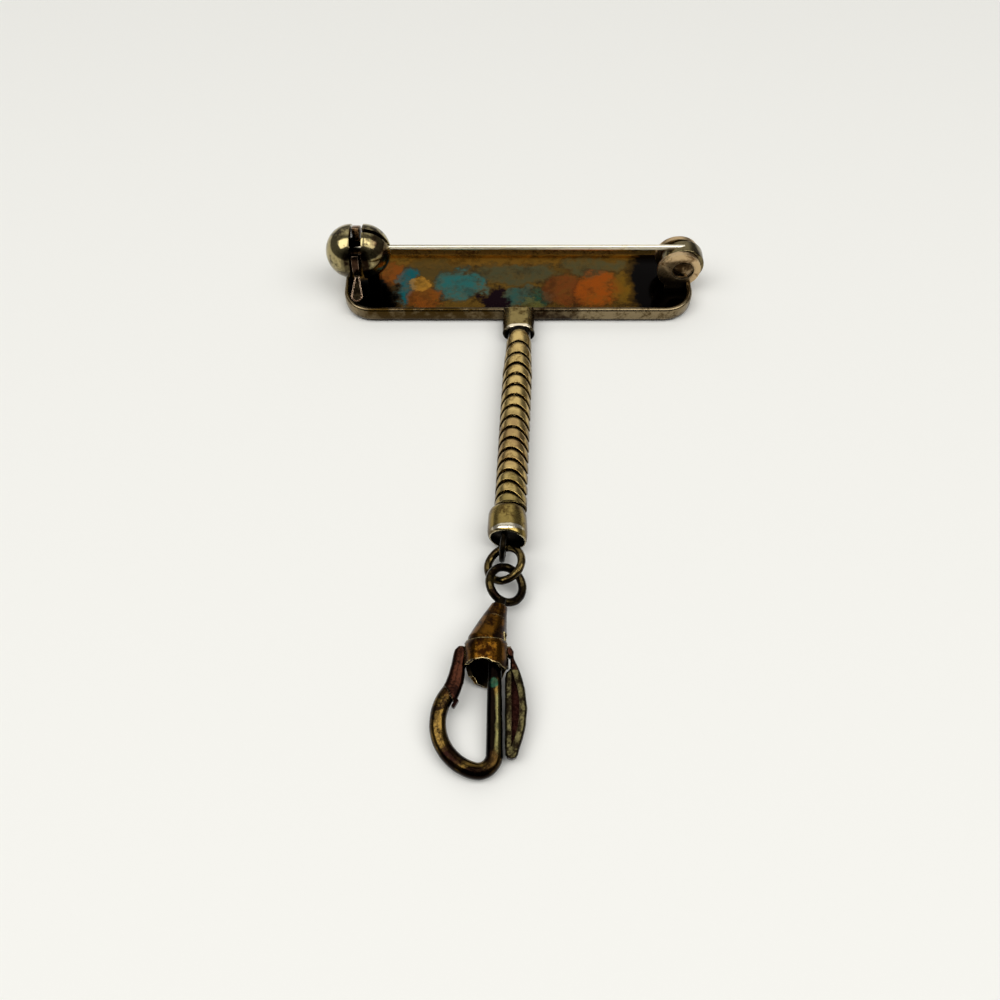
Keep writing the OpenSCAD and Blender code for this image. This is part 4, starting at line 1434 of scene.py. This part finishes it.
@dataclass(frozen=True)
class Studio:
    """A pale table, two large soft lights overhead and the photo's camera.

    Attributes:
        eye: the camera's place in millimetres.
        elevation: its angle above the horizon in degrees.
        focal_share: focal length as a share of the frame's width.
        sensor: the frame's width in millimetres.
        table_size, table_colour: half of the table's width in metres, and its sRGB colour.
        light_place, light_size: the right one of the two lights, in metres.
        light_power: its power in watts.
        front, side, back: brightness of the surroundings.
        front_fade: the view's share along Y from the dark front to the sides.
        wall_from, wall_up, wall_left, wall_right: the same where the bright wall fades in and out.
    """

    eye: Point = (-1.833, -70.538, 68.445)
    elevation: float = 57.0
    focal_share: float = 0.930
    sensor: float = 36.0
    table_size: float = 1.5
    table_colour: str = "F4F3ED"
    light_place: Point = (0.24, -0.11, 0.46)
    light_size: tuple[float, float] = (0.46, 0.36)
    light_power: float = 1.5
    front: float = 0.03
    side: float = 0.12
    back: float = 0.75
    front_fade: tuple[float, float] = (-0.95, -0.1)
    wall_from: tuple[float, float] = (0.25, 0.6)
    wall_up: tuple[float, float] = (0.05, 0.6)
    wall_left: tuple[float, float] = (-0.85, -0.55)
    wall_right: tuple[float, float] = (0.3, 0.65)

    def build(self) -> None:
        """Makes the table, the lights, the surroundings and the camera."""
        bpy.context.scene.view_settings.view_transform = "Standard"
        self.make_table()
        for side in (-1, 1):
            self.make_light(side)
        self.make_world()
        self.make_camera()

    def make_table(self) -> None:
        """A large flat table under the brooch's front face."""
        bench = Bench()
        bmesh.ops.create_grid(bench.mesh, x_segments=1, y_segments=1, size=self.table_size)
        table = bench.take_off("table")
        material = bpy.data.materials.new("matt pale card")
        material.use_nodes = True
        inputs = material.node_tree.nodes["Principled BSDF"].inputs
        inputs["Base Color"].default_value = linear(self.table_colour)
        inputs["Roughness"].default_value = 0.85
        inputs["Specular IOR Level"].default_value = 0.1
        table.data.materials.append(material)

    def make_light(self, side: int) -> None:
        """One soft box overhead, turned to the brooch.

        Args:
            side: -1 for the left one, 1 for the right one.
        """
        light = bpy.data.lights.new("overhead", "AREA")
        light.shape = "RECTANGLE"
        light.size, light.size_y = self.light_size
        light.energy = self.light_power
        lamp = put("overhead", light)
        x, y, z = self.light_place
        lamp.location = (side * x, y, z)
        lamp.rotation_euler = (math.atan2(y, z), side * math.atan2(x, z), 0.0)

    def make_world(self) -> None:
        """Dim surroundings, darkest in front, with a bright wall behind."""
        world = bpy.data.worlds.new("room")
        bpy.context.scene.world = world
        world.use_nodes = True
        tree = world.node_tree
        add = partial(add_node, tree)
        view = add("TexCoord", out="Generated")
        across, along, up = (add("SeparateXYZ", view, out=axis.value) for axis in Axis)
        wall = add("MapRange", along, *self.wall_from, 0.0, self.back, **SMOOTH)
        wall = add("MapRange", up, *self.wall_up, 0.0, wall, **SMOOTH)
        wall = add("MapRange", across, *self.wall_left, 0.0, wall, **SMOOTH)
        wall = add("MapRange", across, *self.wall_right, wall, 0.0, **SMOOTH)
        room = add("MapRange", along, *self.front_fade, self.front, self.side, **SMOOTH)
        total = add("Math", room, wall, operation="ADD")
        tree.links.new(total, tree.nodes["Background"].inputs["Color"])

    def make_camera(self) -> None:
        """The camera where the photo was taken from."""
        data = bpy.data.cameras.new("photo")
        data.sensor_width = self.sensor
        data.lens = self.focal_share * self.sensor
        data.clip_start, data.clip_end = 0.005, 10.0
        camera = put("photo", data)
        camera.location = Vector(self.eye) * MM
        camera.rotation_euler = (math.radians(90 - self.elevation), 0.0, 0.0)
        bpy.context.scene.camera = camera


def main() -> None:
    """Builds the stage and every piece, and reports each through logging."""
    logging.basicConfig(level=logging.INFO, format="%(message)s")
    Studio().build()
    for part in (StampedBar(), Ferrule(), HingedPin(), CatchLock(), SnakeChain(), EndCap(), SplitRing(),
                 SwivelEye(), ClipBody(), GateLever()):
        log.info("building %s", type(part).__name__)
        part.build()


if __name__ == "__main__":
    main()
